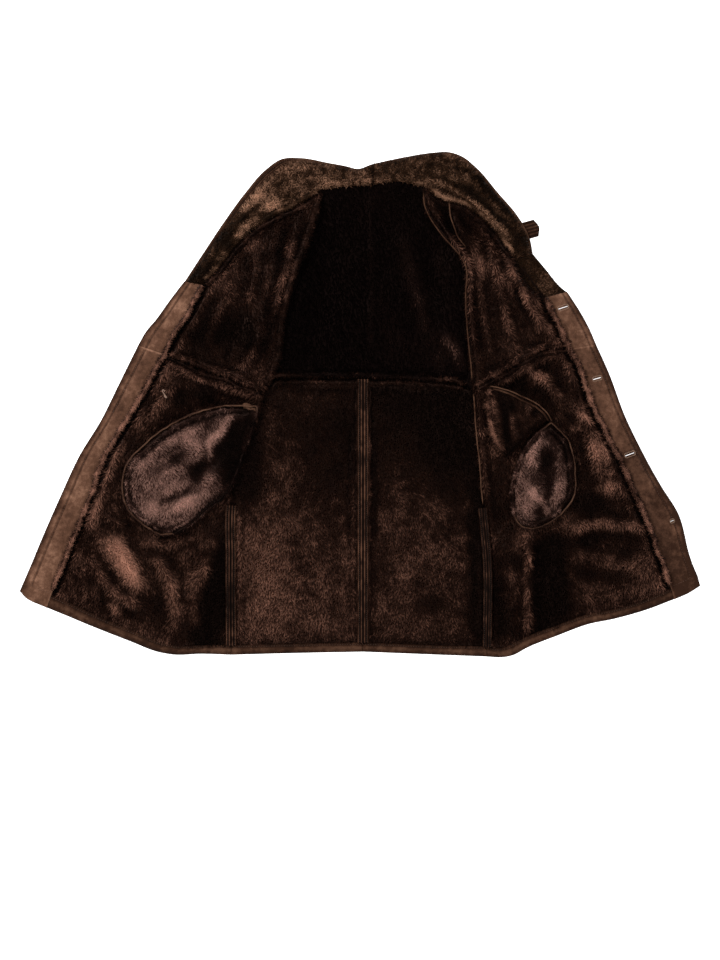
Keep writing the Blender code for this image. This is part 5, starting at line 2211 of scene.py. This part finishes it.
@dataclass
class Buttonholes:
    """The worked slots down the left front."""

    offset: float = 2.0
    pitch: float = 1.1
    reach: tuple[float, float] = (-5.0, 60.0)     # the cutter's ends, clear of every panel

    def build(self, pieces: Sequence[tuple[Object, Array]]) -> None:
        """Cut each slot through the hide and the facing, and work thread round it.

        Args:
            pieces: What can be cut, with the upper sides.

        Returns:
            Nothing: the pieces are cut, and the threads join the scene.
        """
        waist_edge = SEAMS["left_edge_lower"][1][0][1]
        for number, hole in enumerate(BUTTONHOLES, 1):
            part = "upper" if hole["y"] > waist_edge else "lower"
            cutter = self.cutter(self.slot_line(hole, -0.62 * hole["half_width"]))
            for piece, _ in pieces:
                if part in piece.name:
                    self.cut(piece, cutter)
            bpy.data.objects.remove(cutter)
            facing = [top for piece, top in pieces if piece.name.startswith(f"facing_{part}")][0]
            ring = lay_over(facing, self.slot_line(hole, self.offset), 0.8)
            places, along = even_points(np.concatenate([ring, ring[:1]]), self.pitch)
            across = np.stack([along[:, 1], -along[:, 0], np.zeros(len(along))], axis=1)
            place(thread(f"buttonhole_{number}_thread", places, across, 2.2, 0.6,
                         Finish.EYELET.material), Slot.SUEDE)

    def slot_line(self, hole: dict[str, float], offset: float) -> Array:
        """Return a slot's outline in plan: two long sides with half-round ends.

        Args:
            hole: The buttonhole's row.
            offset: How far outside the slot the outline runs.

        Returns:
            The outline's points.
        """
        angle = np.linspace(0, 2 * math.pi, 48, endpoint=False)
        wide = hole["half_width"] + offset
        long = hole["half_length"] - max(hole["half_width"], wide)
        x = wide * np.cos(angle) + long * np.sign(np.cos(angle))
        y = wide * np.sin(angle)
        turn = math.radians(hole["turn"])
        return np.stack([hole["x"] + x * math.cos(turn) - y * math.sin(turn),
                         hole["y"] + x * math.sin(turn) + y * math.cos(turn)], axis=1)

    def cutter(self, path: Array) -> Object:
        """Return a closed prism on a slot's outline.

        Args:
            path: The outline.

        Returns:
            The prism's object.
        """
        n = len(path)
        verts = np.concatenate([np.column_stack([path, np.full(n, z)]) for z in self.reach])
        ring, after = np.arange(n), np.roll(np.arange(n), -1)
        sides = np.stack([ring, after, after + n, ring + n], axis=-1)
        verts = np.concatenate([verts, [[*path.mean(0), z] for z in self.reach]])
        caps = np.concatenate([fan(2 * n, after, ring), fan(2 * n + 1, ring + n, after + n)])
        return mesh_object("slot_cutter", verts, sides, caps[:, [1, 2, 0]], {}, [])

    def cut(self, piece: Object, cutter: Object) -> None:
        """Take the cutter out of a piece, and keep the result as its mesh.

        Args:
            piece: What is cut.
            cutter: A closed object.

        Returns:
            Nothing: the piece has its new mesh.
        """
        step = piece.modifiers.new("slot", "BOOLEAN")
        step.operation = "DIFFERENCE"
        step.solver = "EXACT"
        step.object = cutter
        graph = bpy.context.evaluated_depsgraph_get()
        graph.update()
        made = bpy.data.meshes.new_from_object(piece.evaluated_get(graph))
        piece.modifiers.clear()
        old, piece.data = piece.data, made
        bpy.data.meshes.remove(old)


@dataclass
class Collar:
    """The suede under collar, the curly top collar, the lapel and the throat strap's end."""

    nap: Nap = Nap(spacing=1.65, length=5.2, width=2.7, rise=0.72, curl=1.5, heading=75.0,
                   clump=3.6)
    tones: tuple[float, float] = (0.56, 0.46)
    columns: int = 3
    stitch_in: float = 5.2      # how far the rim's stitching is from its edge
    ribs: int = 5               # of stitching on the strap

    def strap(self, bed: Bed) -> None:
        """Make the end of the throat strap, with ribs of stitching along it.

        Args:
            bed: What it lies on. It takes in the strap.

        Returns:
            Nothing: the piece joins the scene.
        """
        plan = patch_plan(seam("strap_root"), seam("strap_tip"), seam("strap_upper"),
                          seam("strap_lower"), 2, 3)
        bed.over_strap.add(loop_of(coarse(plan, 2, 3)), TAB_WALL)
        panel = Panel(plan, 2, 3, 0.0, TAB_WALL, divisions(2, 14, (0.03,)),
                      divisions(3, 10, (0.03,)))
        rib = np.cos(2 * math.pi * self.ribs * panel.su / 2)[None, :]
        height = panel.floor + (TAB_WALL - 0.5) * (
            0.5 + 0.5 * edge_round(panel.to_border, 2.5)) + 0.4 * rib
        # painted highlight on the ribs' crests and painted shade between them
        panel.cloth(panel.skin("throat_strap_hide", height, "throat_strap", Finish.HEM, 0.35 * rib,
                               0.3 - 0.3 * rib), "laid")

    def under(self, bed: Bed, side: str, rim: Callable, root: Callable) -> None:
        """Make one half of the suede under collar, whose rim shows.

        Args:
            bed: What it lies on.
            side: Which half.
            rim: The collar's outer line.
            root: Its seam with the neck and the front.

        Returns:
            Nothing: the pieces join the scene.
        """
        rows = rim.count
        panel = Panel(strip_plan(rim, root, self.columns), self.columns, rows, bed.over_strap.under,
                      COLLAR_SUEDE, divisions(self.columns, 5, (0.02, 0.08, 0.2, 0.3)),
                      divisions(rows, 8))
        to_rim = panel.away_from(rim, 200)
        height = panel.floor + (COLLAR_SUEDE + 0.8 * bell((to_rim - 3) / 3)) * (
            0.4 + 0.6 * edge_round(to_rim, 2.2)) - 0.9 * bell((to_rim - self.stitch_in) / 1.1)
        # paler near the rim, and painted shade in the stitched groove
        hide = panel.skin(f"under_collar_{side}_hide", height, f"collar_under_{side}", Finish.HEM,
                          0.55 * bell((to_rim - 2) / 1.6),
                          0.5 * bell((to_rim - self.stitch_in) / 1.3))
        s = np.linspace(0.4, rows, 160)
        outer, inward, surface = rim(s), unit(root(s) - rim(s)), panel.solid(height)
        sewn = stitches(f"under_collar_{side}_stitches",
                        lay_over(surface, outer + inward * self.stitch_in, 0.3), 3.6, 2.7, 0.4)
        for name, inset in (("outer", 1.2), ("inner", 4.2 if side == "left" else 8.5)):
            path = lay_over(surface, outer + inward * inset, 0.5)
            piping(f"under_collar_{side}_{name}_line", path, 1.5, 1.2, 6,
                   0.8 + 0.4 * noise(path[:, :2], 14.0, 540))
        panel.cloth(hide, "laid", ["throat_strap_hide"] if side == "left" else [], [sewn])

    def upper(self, bed: Bed, side: str, rim: Callable, root: Callable, number: int) -> None:
        """Make one half of the curly top collar, drawn in from the suede rim.

        Args:
            bed: What it lies on.
            side: Which half.
            rim: The collar's outer line.
            root: Its seam with the neck and the front.
            number: The half's number, for the tone and the noise.

        Returns:
            Nothing: the pieces join the scene.
        """
        rows, columns = rim.count, self.columns

        def drawn(s: Array) -> Array:
            """Return the fur's outer line.

            Args:
                s: The divisions to read at.

            Returns:
                One (x, y) row for each.
            """
            inward = root(s) - rim(s)
            inward /= np.linalg.norm(inward, axis=1, keepdims=True)
            inset = np.interp(s / rows, (0.0, COLLAR_CORNER, 1.0), COLLAR_RIMS[side])
            return rim(s) + inward * inset[:, None]

        crown = COLLAR_CROWN * np.sin(np.linspace(0.0, math.pi, columns + 1))
        panel = Panel(strip_plan(drawn, root, columns), columns, rows,
                      lambda points: bed.over_strap.under(points) + COLLAR_SUEDE + LAY_GAP,
                      COLLAR_FUR + crown, divisions(columns, 8), divisions(rows, 8))
        to_root = panel.away_from(root, 200)
        to_centre = panel.sv[:, None] * 16.0
        curls = noise(panel.grid, 6.5, 500 + number), noise(panel.grid, 5.0, 500 + number)
        extra = 1.9 * curls[0] + 1.6 * noise(panel.grid, 14.0, 510)
        extra = extra - 5.0 * bell(to_centre / 2.5)
        # painted shade in the centre seam's furrow, a painted highlight along the root, and random
        # curls
        tone = (-0.55 * bell(to_centre / 2.2) + 0.16 * bell((to_root - 7) / 5) + 0.20 * curls[1]
                + 0.10 * noise(panel.grid, 11.0, 505))
        FurPanel(f"top_collar_{side}", panel,
                 Relief(f"collar_{side}", self.tones[number], 520 + 10 * number), self.nap,
                 f"collar_fur_{side}", Slot.COLLAR, Finish.TEDDY, 0.62,
                 (f"under_collar_{side}_hide",)).build(None, extra, tone)

    def build(self, bed: Bed) -> None:
        """Make the strap, both halves, the seam between them and the lapel.

        Args:
            bed: What they lie on. It takes in the strap.

        Returns:
            Nothing: the pieces join the scene.
        """
        self.strap(bed)
        for number, side in enumerate(COLLAR_RIMS):
            rim, root = seam(f"collar_{side}_rim"), seam(f"neck_{side}", f"collar_{side}_front")
            self.under(bed, side, rim, root)
            self.upper(bed, side, rim, root, number)
        zero = np.zeros(1)
        middle = np.linspace(seam("collar_left_rim")(zero)[0], seam("neck_left")(zero)[0], 12)[:-1]
        path = np.column_stack([middle, np.full(len(middle), COLLAR_SUEDE)])
        piping("collar_centre_seam", path, 5.0, 4.0, 8, 0.0, 1.0)
        lapel = strip_plan(seam("lapel_rim"), seam("lapel_front"), 2)
        panel = Panel(lapel, 2, LAPEL, bed.over_strap.under, COLLAR_FUR, divisions(2, 6),
                      divisions(LAPEL, 8))
        FurPanel("lapel", panel, Relief("lapel", 0.36, 560), self.nap, "lapel_left", Slot.COLLAR,
                 Finish.TEDDY, 0.6).build(smooth_step((panel.to_border - 1) / 4))


@dataclass
class PocketBags:
    """The pocket bags that lie on the fronts, each of two plies with a stitched edge."""

    nap: Nap = Nap(spacing=1.75, length=6.0, width=2.2, rise=0.4, curl=0.3, heading=-70.0)
    welt_width: float = 2.4
    welt_height: float = 3.2
    welt_in: float = 2.2
    furrows: tuple[float, float] = (5.0, 14.0)     # how far in the sewn edge's two furrows are
    ruffle: float = 9.5                            # how far in the roll between them is

    def bag(self, bed: Bed, side: str, seams: Sequence[Callable], folded: int, until: float,
            tone: float, seed: int) -> tuple[Panel, Array]:
        """Make one bag's two plies.

        Args:
            bed: What it lies on.
            side: Which bag.
            seams: Its mouth, its end and its two sides.
            folded: Which of the seams is a fold, where nothing is sewn.
            until: The division where the fold ends.
            tone: How light its pile is.
            seed: Which noise to use.

        Returns:
            The upper ply's panel, and points along the fold.
        """
        mouth, _, first, _ = seams
        plan = patch_plan(*seams, mouth.count, first.count)
        floor = bed.tops.over(coarse(plan, mouth.count, first.count), BAG_REACH) + LAY_GAP
        cuts = divisions(mouth.count, 6), divisions(first.count, 6)
        under = Panel(plan, mouth.count, first.count, floor, BAG_WALL, *cuts)
        shape = 0.5 + 0.5 * edge_round(under.to_border, 5.0)
        ply = shell(f"bag_{side}_lower_ply", under.solid(under.floor + BAG_WALL),
                    under.solid(under.floor + BAG_WALL * (1 - shape)),
                    {"tone": 0.12, "wear": 0.0, "shade": 0.4}, [Finish.PILE.material])
        place(ply, Slot.BAG, [f"bag_{side}_under"])
        under.cloth(ply, "laid", [f"lower_front_{side}_hide"])
        upper = Panel(plan, mouth.count, first.count, floor + BAG_WALL + PLY_GAP, BAG_WALL, *cuts)
        # the seam's two furrows and the ruffle between them, but for the side that is a fold
        soft = seams[folded](np.linspace(0.2, until, 80))
        sewn = smooth_step((line_distance(upper.grid, soft)[0] - 10) / 12)
        edge, (near, far) = upper.to_border, self.furrows
        ragged = 1 + noise(upper.grid, 8.0, 660)
        crown = (2.5 * edge_round(edge, 34.0) - 1.2
                 + sewn * (2.2 * bell((edge - self.ruffle) / 3) * ragged
                           - 2.5 * bell((edge - near) / 2.2) - 2.0 * bell((edge - far) / 2.4)))
        # painted shade in both furrows, slightly lighter further in, and random tone on the ruffle
        lighter = sewn * (0.08 * bell((edge - 20) / 6) - 0.45 * bell((edge - far) / 2.4)
                          - 0.45 * bell((edge - near) / 2.2)
                          + 0.25 * bell((edge - self.ruffle) / 3) * noise(upper.grid, 6.0, 661))
        FurPanel(f"bag_{side}", upper, Relief(f"bag_{side}", tone, seed, None, 0.6), self.nap,
                 f"bag_{side}_top", Slot.BAG, Finish.SHORN, hide_part=0.6, rests_on=(ply.name,)
                 ).build(smooth_step((edge - 2) / 2), crown, lighter)
        return upper, soft

    def welt(self, side: str, panel: Panel, soft: Array) -> None:
        """Make the bound edge: an oval carried round the bag's outline, with stitches on it.

        Args:
            side: Which bag.
            panel: Its upper ply.
            soft: Points on the side that is a fold, where there is no binding.

        Returns:
            Nothing: the two pieces join the scene.
        """
        ring = panel.outline
        closed = np.concatenate([ring, ring[:1]])
        reach = reach_of(closed)
        wanted = np.linspace(0, reach[-1], 220, endpoint=False)
        path = np.stack([np.interp(wanted, reach, closed[:, k]) for k in range(2)], axis=1)
        for _ in range(3):
            path = 0.25 * np.roll(path, 1, axis=0) + 0.5 * path + 0.25 * np.roll(path, -1, axis=0)
        inward = left_of(np.roll(path, -1, axis=0) - np.roll(path, 1, axis=0))
        if not inside(path + 4 * inward, ring).mean() > 0.5:
            inward = -inward
        bound = line_distance(path, soft)[0] > 5.0
        start = int(np.flatnonzero(bound & ~np.roll(bound, 1))[0])
        path = path + inward * (self.welt_in + 0.9 * noise(path, 7.0, 652))[:, None]
        path = np.roll(path, -start, axis=0)[:int(bound.sum())]
        line = lay_over(panel.solid(panel.floor + BAG_WALL), path, 0.6)
        piping(f"bag_{side}_edge", line, self.welt_width, self.welt_height, 10,
               0.6 + 0.7 * noise(path, 12.0, 650), 0.1)
        line[:, 2] += self.welt_height / 2
        stitches(f"bag_{side}_stitches", line, 3.8, 2.6, 0.45)

    def neck(self, bed: Bed) -> None:
        """Make the left bag's neck, folded over on itself, with two turned edges on its top.

        Args:
            bed: What it lies on.

        Returns:
            Nothing: the pieces join the scene.
        """
        plan = patch_plan(seam("left_neck_top"), seam("left_neck_fold"), seam("left_neck_inner"),
                          seam("left_neck_outer"), 4, 4)
        neck = Panel(plan, 4, 4, lambda points: bed.tops.over(points, BAG_REACH) + LAY_GAP,
                     2 * BAG_WALL, divisions(4, 7), divisions(4, 7))
        # painted shade a little in from the neck's border
        FurPanel("bag_left_neck", neck, Relief("bag_neck", 0.42, 640), self.nap, "bag_left_neck",
                 Slot.BAG, rests_on=("lower_front_left_hide",), held="folded", hide_part=0.7
                 ).build(None, None, -0.25 * bell((neck.to_border - 5) / 3))
        top = np.concatenate([seam("left_neck_top")(np.linspace(0.05, 3.95, 60)),
                              through([(299, -4), (309, -14), (318, -30)], np.linspace(0, 1, 14))])
        middle = neck.grid.reshape(-1, 2).mean(0)
        inward = (middle - top) / np.linalg.norm(middle - top, axis=1, keepdims=True)
        for name, inset, wide, wear in (("rim", 1.5, 2.0, 1.0), ("fell", 7.5, 3.0, 0.1)):
            path = top + inward * (inset + 0.9 * noise(top, 11.0, 655))[:, None]
            piping(f"bag_left_neck_{name}", lay_over(neck.solid(neck.floor), path, 9.5), wide, 2.6,
                   8, wear + 0.4 * noise(path, 7.0, 655))
        FurEdge("bag_left_neck_side", seam("left_neck_inner"), 0.1, 3.8, 7.5, 0.70, 10.0, 7.0, 4.0,
                Finish.PILE, Slot.BAG).build(bed, 680)

    def build(self, bed: Bed) -> None:
        """Make both bags and the left one's folded neck.

        Args:
            bed: What they lie on.

        Returns:
            Nothing: the pieces join the scene.
        """
        # each bag: seams, the fold's seam, where the fold ends, tone, the fold roll's tone and
        # shift; the left fold's roll is light, a painted highlight on the fold
        bags = {"right": (("mouth", "end", "top", "bottom"), 3, 6.5, 0.72, 0.22, -3.0),
                "left": (("mouth", "end", "inner", "outer"), 2, 7.0, 0.60, 0.62, 3.0)}
        for number, (side, row) in enumerate(bags.items()):
            names, folded, until, tone, fold_tone, shift = row
            seams = [seam(f"{side}_bag_{name}") for name in names]
            upper, soft = self.bag(bed, side, seams, folded, until, tone, 600 + 20 * number)
            self.welt(side, upper, soft)
            FurEdge(f"bag_{side}_fold", seams[folded], 0.3, until + 0.8, 8.0, fold_tone, 7.0, 6.5,
                    shift, Finish.SHORN, Slot.BAG).build(bed, 670)
        self.neck(bed)


@dataclass
class Tapes:
    """The leather tapes over the back's seams, with raised lines along them."""

    lines: int = 3
    raised: float = 0.55
    edges: tuple[float, float] = (0.12, 0.88)      # where its stitches run, across the width

    def side_line(self, tape: dict, half: float, start: int) -> Callable:
        """Return one edge of a tape, which runs beside its seam.

        Args:
            tape: The tape's row.
            half: How far from the seam, in parts of the tape's width.
            start: The seam's division where the tape begins.

        Returns:
            The edge, as a function of the tape's own divisions.
        """
        line = seam(tape["seam"])

        def at(s: Array) -> Array:
            """Return the edge's points.

            Args:
                s: The tape's divisions to read at.

            Returns:
                One (x, y) row for each.
            """
            s = np.asarray(s, float) + start
            along = line(np.minimum(s + 0.5, line.count)) - line(np.maximum(s - 0.5, start))
            across = np.stack([-along[:, 1], along[:, 0]], axis=1)
            across *= half * tape["width"] / np.linalg.norm(across, axis=1, keepdims=True)
            return line(s) + across
        return at

    def build(self, bed: Bed) -> None:
        """Make each tape from the points of its seam.

        Args:
            bed: What they lie on.

        Returns:
            Nothing: the pieces join the scene.
        """
        for number, (name, tape) in enumerate(TAPES.items()):
            start = round(tape["from"] * LOWER)
            rows = LOWER - start
            plan = strip_plan(*(self.side_line(tape, half, start) for half in (-0.5, 0.5)), 2)
            panel = Panel(plan, 2, rows, lambda points: bed.tops.over(points, TAPE_REACH) + LAY_GAP,
                          TAPE_WALL, divisions(2, 12, (0.03,)), divisions(rows, 10))
            ridge = np.cos(2 * math.pi * self.lines * (panel.su / 2)[None, :])
            wander = 0.25 * noise(panel.grid, 9.0, 700 + number)
            rounding = 0.5 + 0.5 * edge_round(panel.to_border, 1.5)
            height = (panel.floor + (TAPE_WALL + wander) * rounding
                      + self.raised * (0.5 + 0.5 * ridge))
            # painted highlight on the raised lines and painted shade between them; the left side
            # tape is darker all over
            dim = 0.2 if name == "side_left" else 0.0
            piece = panel.skin(f"tape_{name}_strip", height, f"tape_{name}", Finish.TAPE,
                               (0.7 - dim) * ridge + 2 * wander, 0.45 + dim - 0.45 * ridge,
                               slot=Slot.TAPE)
            sewn = []
            for edge in self.edges:
                column = int(np.argmin(np.abs(panel.su / 2 - edge)))
                path = panel.solid(height)[:, column] + (0, 0, 0.3)
                sewn.append(stitches(f"tape_{name}_stitches_{round(edge * 100)}", path, 3.4, 2.5,
                                     0.35, Slot.TAPE))
            panel.cloth(piece, "laid", [f"lower_back_{side}_hide" for side in tape["on"]], sewn)


@dataclass
class Buttons:
    """Turned horn buttons, face down beneath the right front."""

    radius: float = BUTTON_RADIUS
    wall: float = BUTTON_WALL
    turns: int = 48
    hole: float = 0.9           # how far the thread's holes are from the middle, each way

    def disc(self, number: int, x: float, y: float, base: float) -> None:
        """Turn one button: the profile's radius and height, carried round the circle.

        Args:
            number: Which button.
            x: Its middle.
            y: Its middle.
            base: The height of what it lies on.

        Returns:
            Nothing: the piece joins the scene.
        """
        across, height = np.array(BUTTON_PROFILE).T
        angle = np.linspace(0, 2 * math.pi, self.turns, endpoint=False)
        rings = np.stack([x + self.radius * across[:, None] * np.cos(angle),
                          y + self.radius * across[:, None] * np.sin(angle),
                          base + self.wall * height[:, None] + 0 * angle], axis=-1)
        index = np.arange(rings.size // 3).reshape(rings.shape[:2])
        after = np.roll(index, -1, axis=1)
        quads = np.stack([index[:-1], index[1:], after[1:], after[:-1]], axis=-1).reshape(-1, 4)
        middle = np.array([[x, y, base + self.wall * k] for k in (height[0], height[-1])])
        verts = np.concatenate([rings.reshape(-1, 3), middle])
        caps = np.concatenate([fan(index.size, index[0], after[0]),
                               fan(index.size + 1, after[-1], index[-1])])
        place(mesh_object(f"button_{number}_disc", verts, quads[:, ::-1], caps[:, ::-1], {},
                          [Finish.HORN.material]), Slot.BUTTON, [f"button_{number}"])

    def build(self) -> None:
        """Make each button and the thread in its four holes.

        Returns:
            Nothing: the pieces join the scene.
        """
        turn = np.radians([45.0, 135.0, 45.0, 135.0])
        along = np.stack([np.cos(turn), np.sin(turn), np.zeros(4)], axis=1)
        holes = self.hole * np.array([[1, -1, 0], [1, 1, 0], [-1, 1, 0], [-1, -1, 0]])
        for number, spot in enumerate(BUTTONS, 1):
            self.disc(number, **spot)
            middle = np.array([[spot["x"], spot["y"], spot["base"] + self.wall * 0.2 - 0.3]])
            place(thread(f"button_{number}_thread", middle + holes, along, 5.0, 0.45,
                         Finish.SEWING.material), Slot.BUTTON)


@dataclass
class SeamFur:
    """The rolls of pile along the facings, waists, armholes and the collar's roots."""

    half_width: float = 1.1     # of a seam allowance

    def build(self, bed: Bed) -> None:
        """Make each roll from the seam that it follows, the turned rims and the allowances.

        Args:
            bed: What they lie on.

        Returns:
            Nothing: the pieces join the scene.
        """
        for number, (name, seams, start, end, *rest) in enumerate(ROLLED_SEAMS):
            teddy = (Finish.TEDDY, Slot.COLLAR) if name.startswith("collar_root") else ()
            nap = TAPED_NAP if name.startswith("centre") else ROLL_NAP
            edge = FurEdge(name, seam(*seams), start, end, *rest, *teddy, nap=nap)
            edge.build(bed, 900 + 11 * number)
        self.rims(bed)
        self.allowances(bed)
        back = Bed()
        back.tops.samples = np.concatenate([bed.back_top.samples, bed.tops.samples])
        line = seam("back_waist_right", "back_waist_left")
        for number, (name, shift, tone) in enumerate((("upper", 5.5, 0.40), ("lower", -5.5, 0.42))):
            FurEdge(f"back_waist_{name}", line, 0.4, 2 * BACK - 0.4, -1.5, tone, 6.0, 2.4, shift
                    ).build(back, 1100 + 11 * number)

    def allowances(self, bed: Bed) -> None:
        """Make the seam allowances that stand beneath the fronts' inner edges and close them,
        painted black as shade.

        Args:
            bed: What they stand between.

        Returns:
            Nothing: the pieces join the scene.
        """
        part = np.linspace(0.01, 0.99, 90)
        collars = {"right": ("collar_right_front",), "left": ("collar_left_front", "-lapel_front")}
        for side, roots in collars.items():
            facing = [seam(f"{side}_{name}_upper")(np.zeros(1))[0] for name in ("edge", "face")]
            runs = {name: line(part * line.count) for name, line in
                    (("collar", seam(*roots)), ("armhole", seam(f"{side}_arm")),
                     ("side", seam(f"{side}_side")))}
            runs["facing"] = facing[0] + (facing[1] - facing[0]) * part[:, None]
            for name, middle in runs.items():
                across = left_of(np.gradient(middle, axis=0))
                aside = np.linspace(-self.half_width, self.half_width, 4)
                grid = middle[:, None] + across[:, None] * aside[:, None]
                low = np.full(len(part), 0.2)
                if name == "armhole":
                    low = bed.over_sleeves.under(middle) + BODY_WALL - 2.0
                for outline, thickness in bed.over_sleeves.layers:
                    under = distance_outside(middle, outline) < 2.0
                    low = np.where(under, np.maximum(low, thickness), low)
                high = np.maximum(bed.laid(middle) + 1.5, low + 0.4)
                top, bottom = (
                    np.concatenate([grid, np.repeat(z[:, None, None], 4, axis=1)], axis=-1)
                    for z in (high, low))
                place(shell(f"{name}_{side}_allowance", top, bottom, {"tone": 0.0},
                            [Finish.PILE.material]), Slot.FUR)

    def rims(self, bed: Bed) -> None:
        """Make the thin turned edges of hide at the left armhole and the pleat beside it.

        Args:
            bed: What they lie on.

        Returns:
            Nothing: the pieces join the scene.
        """
        pleat = through([(146, 340), (152, 300), (161, 276), (174, 258)], np.linspace(0, 1, 24))
        lines = {"armhole_left_rim": seam("left_arm")(np.linspace(0.3, UPPER - 0.4, 90)),
                 "pleat_left_rim": pleat,
                 "side_left_rim": seam("left_side")(np.linspace(0.2, 5.8, 60))}
        for name, line in lines.items():
            path = np.column_stack([line, level(bed.tops.over(line, 9.0), 3) + 3.4])
            path[:, 0] += 0.8 * noise(line, 18.0, 990)
            piping(name, path, 2.2, 2.4, 6, 0.6 + 0.5 * noise(line, 16.0, 991))


@dataclass
class Trim:
    """Small things that show: the stub at the right bag's mouth and the thread's knot."""

    knot_at: tuple[float, float] = (-324.0, 19.0)

    def build(self, bed: Bed) -> None:
        """Make the stub of suede and the knot on the right front.

        Args:
            bed: What they lie on.

        Returns:
            Nothing: the pieces join the scene.
        """
        line = through([(-193, -1), (-181, -7), (-170, -13)], np.linspace(0, 1, 16))
        floor = bed.tops.over(line, BAG_REACH).max() + 2.2
        path = np.column_stack([line, np.full(len(line), floor + 6.0)])
        piping("bag_right_stub", path, 11.0, 4.0, 12, 0.3)
        angle = np.linspace(0, 3 * math.pi, 40)
        height = bed.tops.over(np.array([self.knot_at]), 8.0).max() + 6.5
        knot = np.column_stack([self.knot_at[0] + 2.6 * np.cos(angle) + 0.5 * angle,
                                self.knot_at[1] + 5.2 * np.sin(0.7 * angle) - 0.6 * angle,
                                height + 0.6 * np.sin(2.3 * angle)])
        place(tube("button_thread_knot", knot, 1.7, 1.5, 6, {}, Finish.KNOT.material), Slot.SUEDE)


# ---------------------------------------------------------------- floor, light and camera

@dataclass
class Studio:
    """A plain white floor, soft lights and a camera straight above."""

    view_height: float = 5.295
    view_y: float = -0.1254
    lens: float = 120.0
    floor_glow: float = 1.1
    sky: float = 0.30
    floor_half: float = 30000.0
    floor_z: float = -0.6

    def build(self) -> None:
        """Make the floor, the lights and the camera.

        Returns:
            Nothing: they join the scene.
        """
        half = self.floor_half
        corners = np.array([[x * half, y * half, self.floor_z]
                            for x, y in ((-1, -1), (1, -1), (1, 1), (-1, 1))])
        floor = mesh_object("studio_floor", corners, np.array([[0, 1, 2, 3]]), None, {},
                            [self.paper()])
        bpy.context.scene.view_settings.view_transform = "Standard"
        world = bpy.context.scene.world or bpy.data.worlds.new("studio")
        bpy.context.scene.world = world
        world.use_nodes = True
        sky = world.node_tree.nodes["Background"].inputs
        sky["Color"].default_value = (1, 1, 1, 1)
        sky["Strength"].default_value = self.sky
        self.lamp("key", (-1.2, 1.3, 2.3), 0.8, 95.0)
        self.lamp("fill", (1.4, 0.2, 2.4), 1.0, 24.0)
        self.lamp("rim", (-0.3, -1.9, 1.6), 1.0, 30.0)
        view = bpy.data.cameras.new("camera")
        view.lens = self.lens
        view.sensor_width = 36.0
        camera = bpy.data.objects.new("camera", view)
        bpy.context.scene.collection.objects.link(camera)
        camera.location = (0.0, self.view_y, self.view_height)
        bpy.context.scene.camera = camera

    def paper(self) -> Material:
        """Return the floor's white, which is a little luminous.

        Returns:
            The floor's material.
        """
        nodes = Nodes("floor_white")
        nodes.shader.inputs["Base Color"].default_value = (0.9, 0.9, 0.9, 1)
        nodes.surface(0.9, 0.1)
        nodes.shader.inputs["Emission Color"].default_value = (1, 1, 1, 1)
        nodes.shader.inputs["Emission Strength"].default_value = self.floor_glow
        return nodes.material

    def lamp(self, name: str, spot: Triple, size: float, power: float) -> None:
        """Add a square soft light that looks at the coat's middle.

        Args:
            name: The light's name.
            spot: Where it is, in metres.
            size: Its side, in metres.
            power: Its power, in watts.

        Returns:
            Nothing: it joins the scene.
        """
        light = bpy.data.lights.new(name, "AREA")
        light.size = size
        light.energy = power
        lamp = bpy.data.objects.new(name, light)
        bpy.context.scene.collection.objects.link(lamp)
        lamp.location = spot
        x, y, z = (-a for a in spot)
        lamp.rotation_euler = (math.atan2(math.hypot(x, y), -z), 0.0, math.atan2(x, -y) + math.pi)


def main() -> None:
    """Lay the coat out from the plane upwards, and report each piece.

    Returns:
        Nothing: the pieces join the scene.
    """
    logging.basicConfig(level=logging.INFO, format="%(name)s: %(message)s")
    Studio().build()
    bed = Bed()
    Sleeves().build(bed)
    Backs().build(bed)
    angles = np.linspace(0.0, 2 * math.pi, 12, endpoint=False)
    disc = BUTTON_RADIUS * np.stack([np.cos(angles), np.sin(angles)], axis=1)
    for spot in BUTTONS:
        bed.over_back.add(disc + (spot["x"], spot["y"]), BUTTON_WALL)
    Buttons().build()
    Fronts("right", seam("-collar_right_front"), 0.30, upper_tone=0.40, lower_tone=0.48).build(bed)
    left = Fronts("left", seam("-lapel_front", "-collar_left_front"), 0.22, upper_tone=0.48,
                  lower_tone=0.51).build(bed)
    Buttonholes().build(left)
    Collar().build(bed)
    PocketBags().build(bed)
    Tapes().build(bed)
    SeamFur().build(bed)
    Trim().build(bed)
    faces = sum(len(p.vertices) - 2 for o in bpy.data.objects
                if o.type == "MESH" and not o.hide_render for p in o.data.polygons)
    log.info("triangles in all: %d", faces)


if __name__ == "__main__":
    main()
